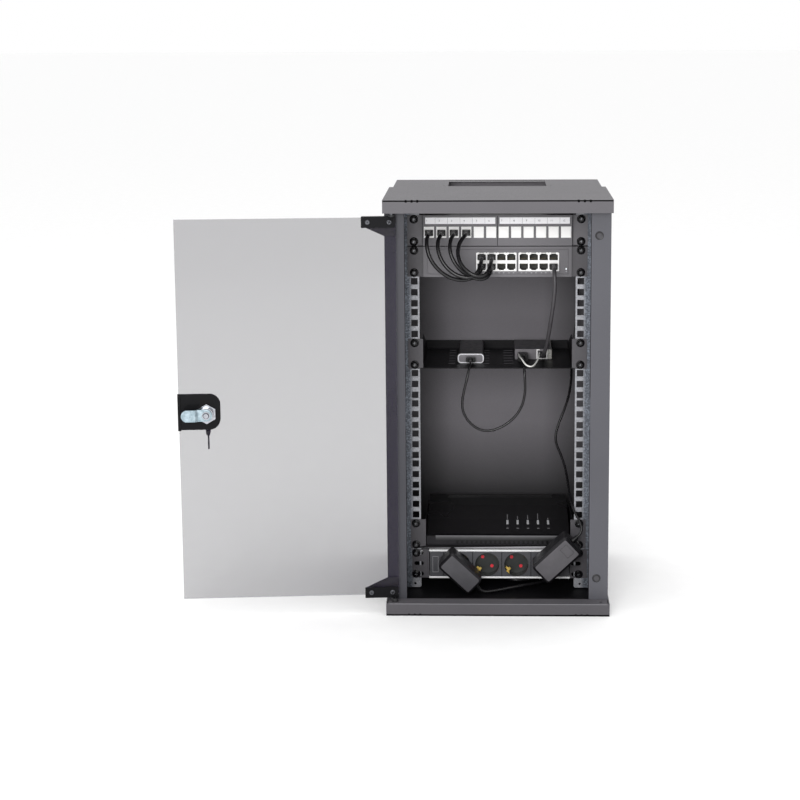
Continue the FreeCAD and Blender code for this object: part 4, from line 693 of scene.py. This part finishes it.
# dark ring round each door bumper on the right post: painted shadow
bm = bmesh.new()
for x in (138.3,):
    for z in (49.0, 533.0):
        rows = []
        for y, rr in ((-130.0, 5.9), (-130.5, 5.7), (-130.8, 5.1), (-130.5, 3.6), (-130.0, 3.6)):
            rows.append([bm.verts.new(((x + rr * math.cos(math.pi * i / 16)) / 1000, y / 1000, (z + rr * math.sin(math.pi * i / 16)) / 1000)) for i in range(32)])
        for a, b in zip(rows, rows[1:] + rows[:1]):
            for i in range(32):
                bm.faces.new((a[i], a[(i + 1) % 32], b[(i + 1) % 32], b[i]))
piece("bumper_shadow_rings", bm, M["device"], "cabinet")

# dark slabs in the vent slots in the bends: painted shade in the slots
bm = bmesh.new()
for x in VENT_X:
    slab(bm, (x - 2.2, -148.7, 579.4), (x + 2.2, -146.2, 582.7), 0.1)
    slab(bm, (x - 1.35, -149.9, 0.1), (x + 1.35, -146.2, 3.15), 0.1)
piece("vent_slot_shade", bm, M["gap"], "cabinet")

# dark crosses on the four clamp screws of the glass: painted shade in their cross recesses
bm = bmesh.new()
for x, y in ((-176.5, -143.25), (-147.1, -140.85)):
    for z in (553.25, 30.75):
        R = Matrix.Translation((x, y, z)) @ Matrix.Rotation(math.radians(4.8), 4, "Z") @ Matrix.Rotation(math.radians(20), 4, "Y")
        slab(bm, (-2.3, -0.06, -0.5), (2.3, 0.2, 0.5), 0.03, mtx=R)
        slab(bm, (-0.5, -0.06, -2.3), (0.5, 0.2, 2.3), 0.03, mtx=R)
piece("clamp_screw_cross_shade", bm, M["gap"], "door")

# tapered tail of the hanging key's grip
bm = bmesh.new()
R = Matrix.Translation((-400.99, -137.59, 0.0)) @ Matrix.Rotation(math.radians(4.8), 4, "Z")
rows = []
for z, a, b in ((264.0, 3.2, 7.4), (259.4, 2.9, 6.4), (256.6, 2.0, 3.9), (256.0, 1.5, 3.4)):
    c = 0.8
    rows.append([bm.verts.new((R @ Vector((u, v, z))) / 1000.0) for u, v in ((-a, -b + c), (-a + c, -b), (a - c, -b), (a, -b + c), (a, b - c), (a - c, b), (-a + c, b), (-a, b - c))])
for a, b in zip(rows, rows[1:]):
    for i in range(8):
        bm.faces.new((a[i], a[(i + 1) % 8], b[(i + 1) % 8], b[i]))
bm.faces.new(rows[0][::-1]); bm.faces.new(rows[-1])
piece("key_grip_tail", bm, M["plug"], "key_bunch")

# bright rim of the small silver-fronted device
bm = bmesh.new()
def rim_ring(d, y):
    x0, x1, z0, z1, r = -57.6 + d, -19.4 - d, 330.4 + d, 344.9 - d, max(5.2 - d, 0.5)
    out = []
    for cx, cz, a0 in ((x1 - r, z1 - r, 0), (x0 + r, z1 - r, 90), (x0 + r, z0 + r, 180), (x1 - r, z0 + r, 270)):
        for i in range(9):
            a = math.radians(a0 + i * 90 / 8)
            out.append(bm.verts.new(((cx + r * math.cos(a)) / 1000, y / 1000, (cz + r * math.sin(a)) / 1000)))
    return out
rows = [rim_ring(0.25, -0.9), rim_ring(0.25, -1.15), rim_ring(0.6, -1.4), rim_ring(1.5, -1.4), rim_ring(1.9, -1.15), rim_ring(1.9, -0.9)]
for a, b in zip(rows, rows[1:] + rows[:1]):
    for i in range(len(a)):
        bm.faces.new((a[i], a[(i + 1) % len(a)], b[(i + 1) % len(a)], b[i]))
piece("device_rim", bm, M["rim"], "cabinet")

# raised lips of the upper shelf's vent slots, coloured light grey: painted highlight on their edges
bm = bmesh.new()
for x0, dx in ((-71.0, 10.0), (-22.0, 10.5), (9.0, 14.5)):
    for y in (-1.6, 18.0, 38.4, 58.0, 79.4, 97.4):
        vs = []
        for yy, zz in ((y - 1.4, 330.4), (y - 0.5, 330.75), (y, 330.75), (y, 330.3)):
            vs.append([bm.verts.new((xx / 1000, yy / 1000, zz / 1000)) for xx in (x0 + 0.4, x0 + dx - 0.4)])
        for a, b in zip(vs, vs[1:] + vs[:1]):
            bm.faces.new((a[0], a[1], b[1], b[0]))
        bm.faces.new([v[0] for v in vs][::-1]); bm.faces.new([v[1] for v in vs])
piece("shelf_slot_lip_highlights", bm, M["slot_edge_highlight"], "cabinet")

# dark seams and shade lines: painted shade along the top cover's front bend, painted contact shadow along the base's
# bottom edge, painted shadow under the top lip, and real joints between the panel and its ears and between units 1 and
# 2
bm = bmesh.new()
slab(bm, (-155.4, -150.12, 581.9), (155.4, -149.8, 583.7), 0.02)
slab(bm, (-155.4, -150.12, 0.2), (155.4, -149.8, 2.3), 0.02)
slab(bm, (-127.0, -130.3, 563.6), (127.0, -129.0, 565.4), 0.02)
slab(bm, (-127.3, -36.9, 505.9), (127.3, -34.5, 506.9), 0.05)
slab(bm, (-106.3, -37.12, 507.4), (-105.8, -36.8, 549.8), 0.05)
slab(bm, (105.8, -37.12, 507.4), (106.3, -36.8, 549.8), 0.05)
slab(bm, (-0.35, -37.12, 507.4), (0.35, -36.8, 549.8), 0.05)
piece("dark_seams_and_shade_lines", bm, M["gap"], "cabinet")

# ------------------------------------------------------------------ stage and light
def plane(name, co, mat):
    me = bpy.data.meshes.new(name)
    me.from_pydata(co, [], [tuple(range(len(co)))])
    o = bpy.data.objects.new(name, me)
    scene.collection.objects.link(o)
    me.materials.append(mat)
    return o

k = Mat("floor_paper", rough=0.75, spec=0.2)
k.color(k.ramp(k.noise(30.0, 3), [(0.3, (0.965, 0.965, 0.965)), (0.7, (0.985, 0.985, 0.985))]))
M["floor"] = k.m
plane("floor", [(-12, -12, 0), (12, -12, 0), (12, 30, 0), (-12, 30, 0)], M["floor"])

world = bpy.data.worlds.new("studio")
scene.world = world
world.use_nodes = True
bg = world.node_tree.nodes["Background"]
bg.inputs["Color"].default_value = (1.0, 1.0, 1.0, 1.0)
bg.inputs["Strength"].default_value = 1.0

def area(name, loc, target, size, power, size_y=None):
    l = bpy.data.lights.new(name, "AREA")
    l.shape = "RECTANGLE"
    l.size, l.size_y = size, size_y or size
    l.energy = power
    o = bpy.data.objects.new(name, l)
    scene.collection.objects.link(o)
    o.location = loc
    o.rotation_mode = "QUATERNION"
    o.rotation_quaternion = (Vector(target) - Vector(loc)).to_track_quat("-Z", "Y")
    return o

area("key", (-0.55, -3.1, 1.15), (0.0, 0.0, 0.3), 1.2, 46.0)
area("top", (0.0, -0.2, 3.0), (0, 0, 0.3), 2.4, 16.0)

scene.view_settings.view_transform = "Standard"
scene.view_settings.look = "None"
scene.view_settings.exposure = 0.0
scene.view_settings.gamma = 1.0

bpy.context.view_layer.update()
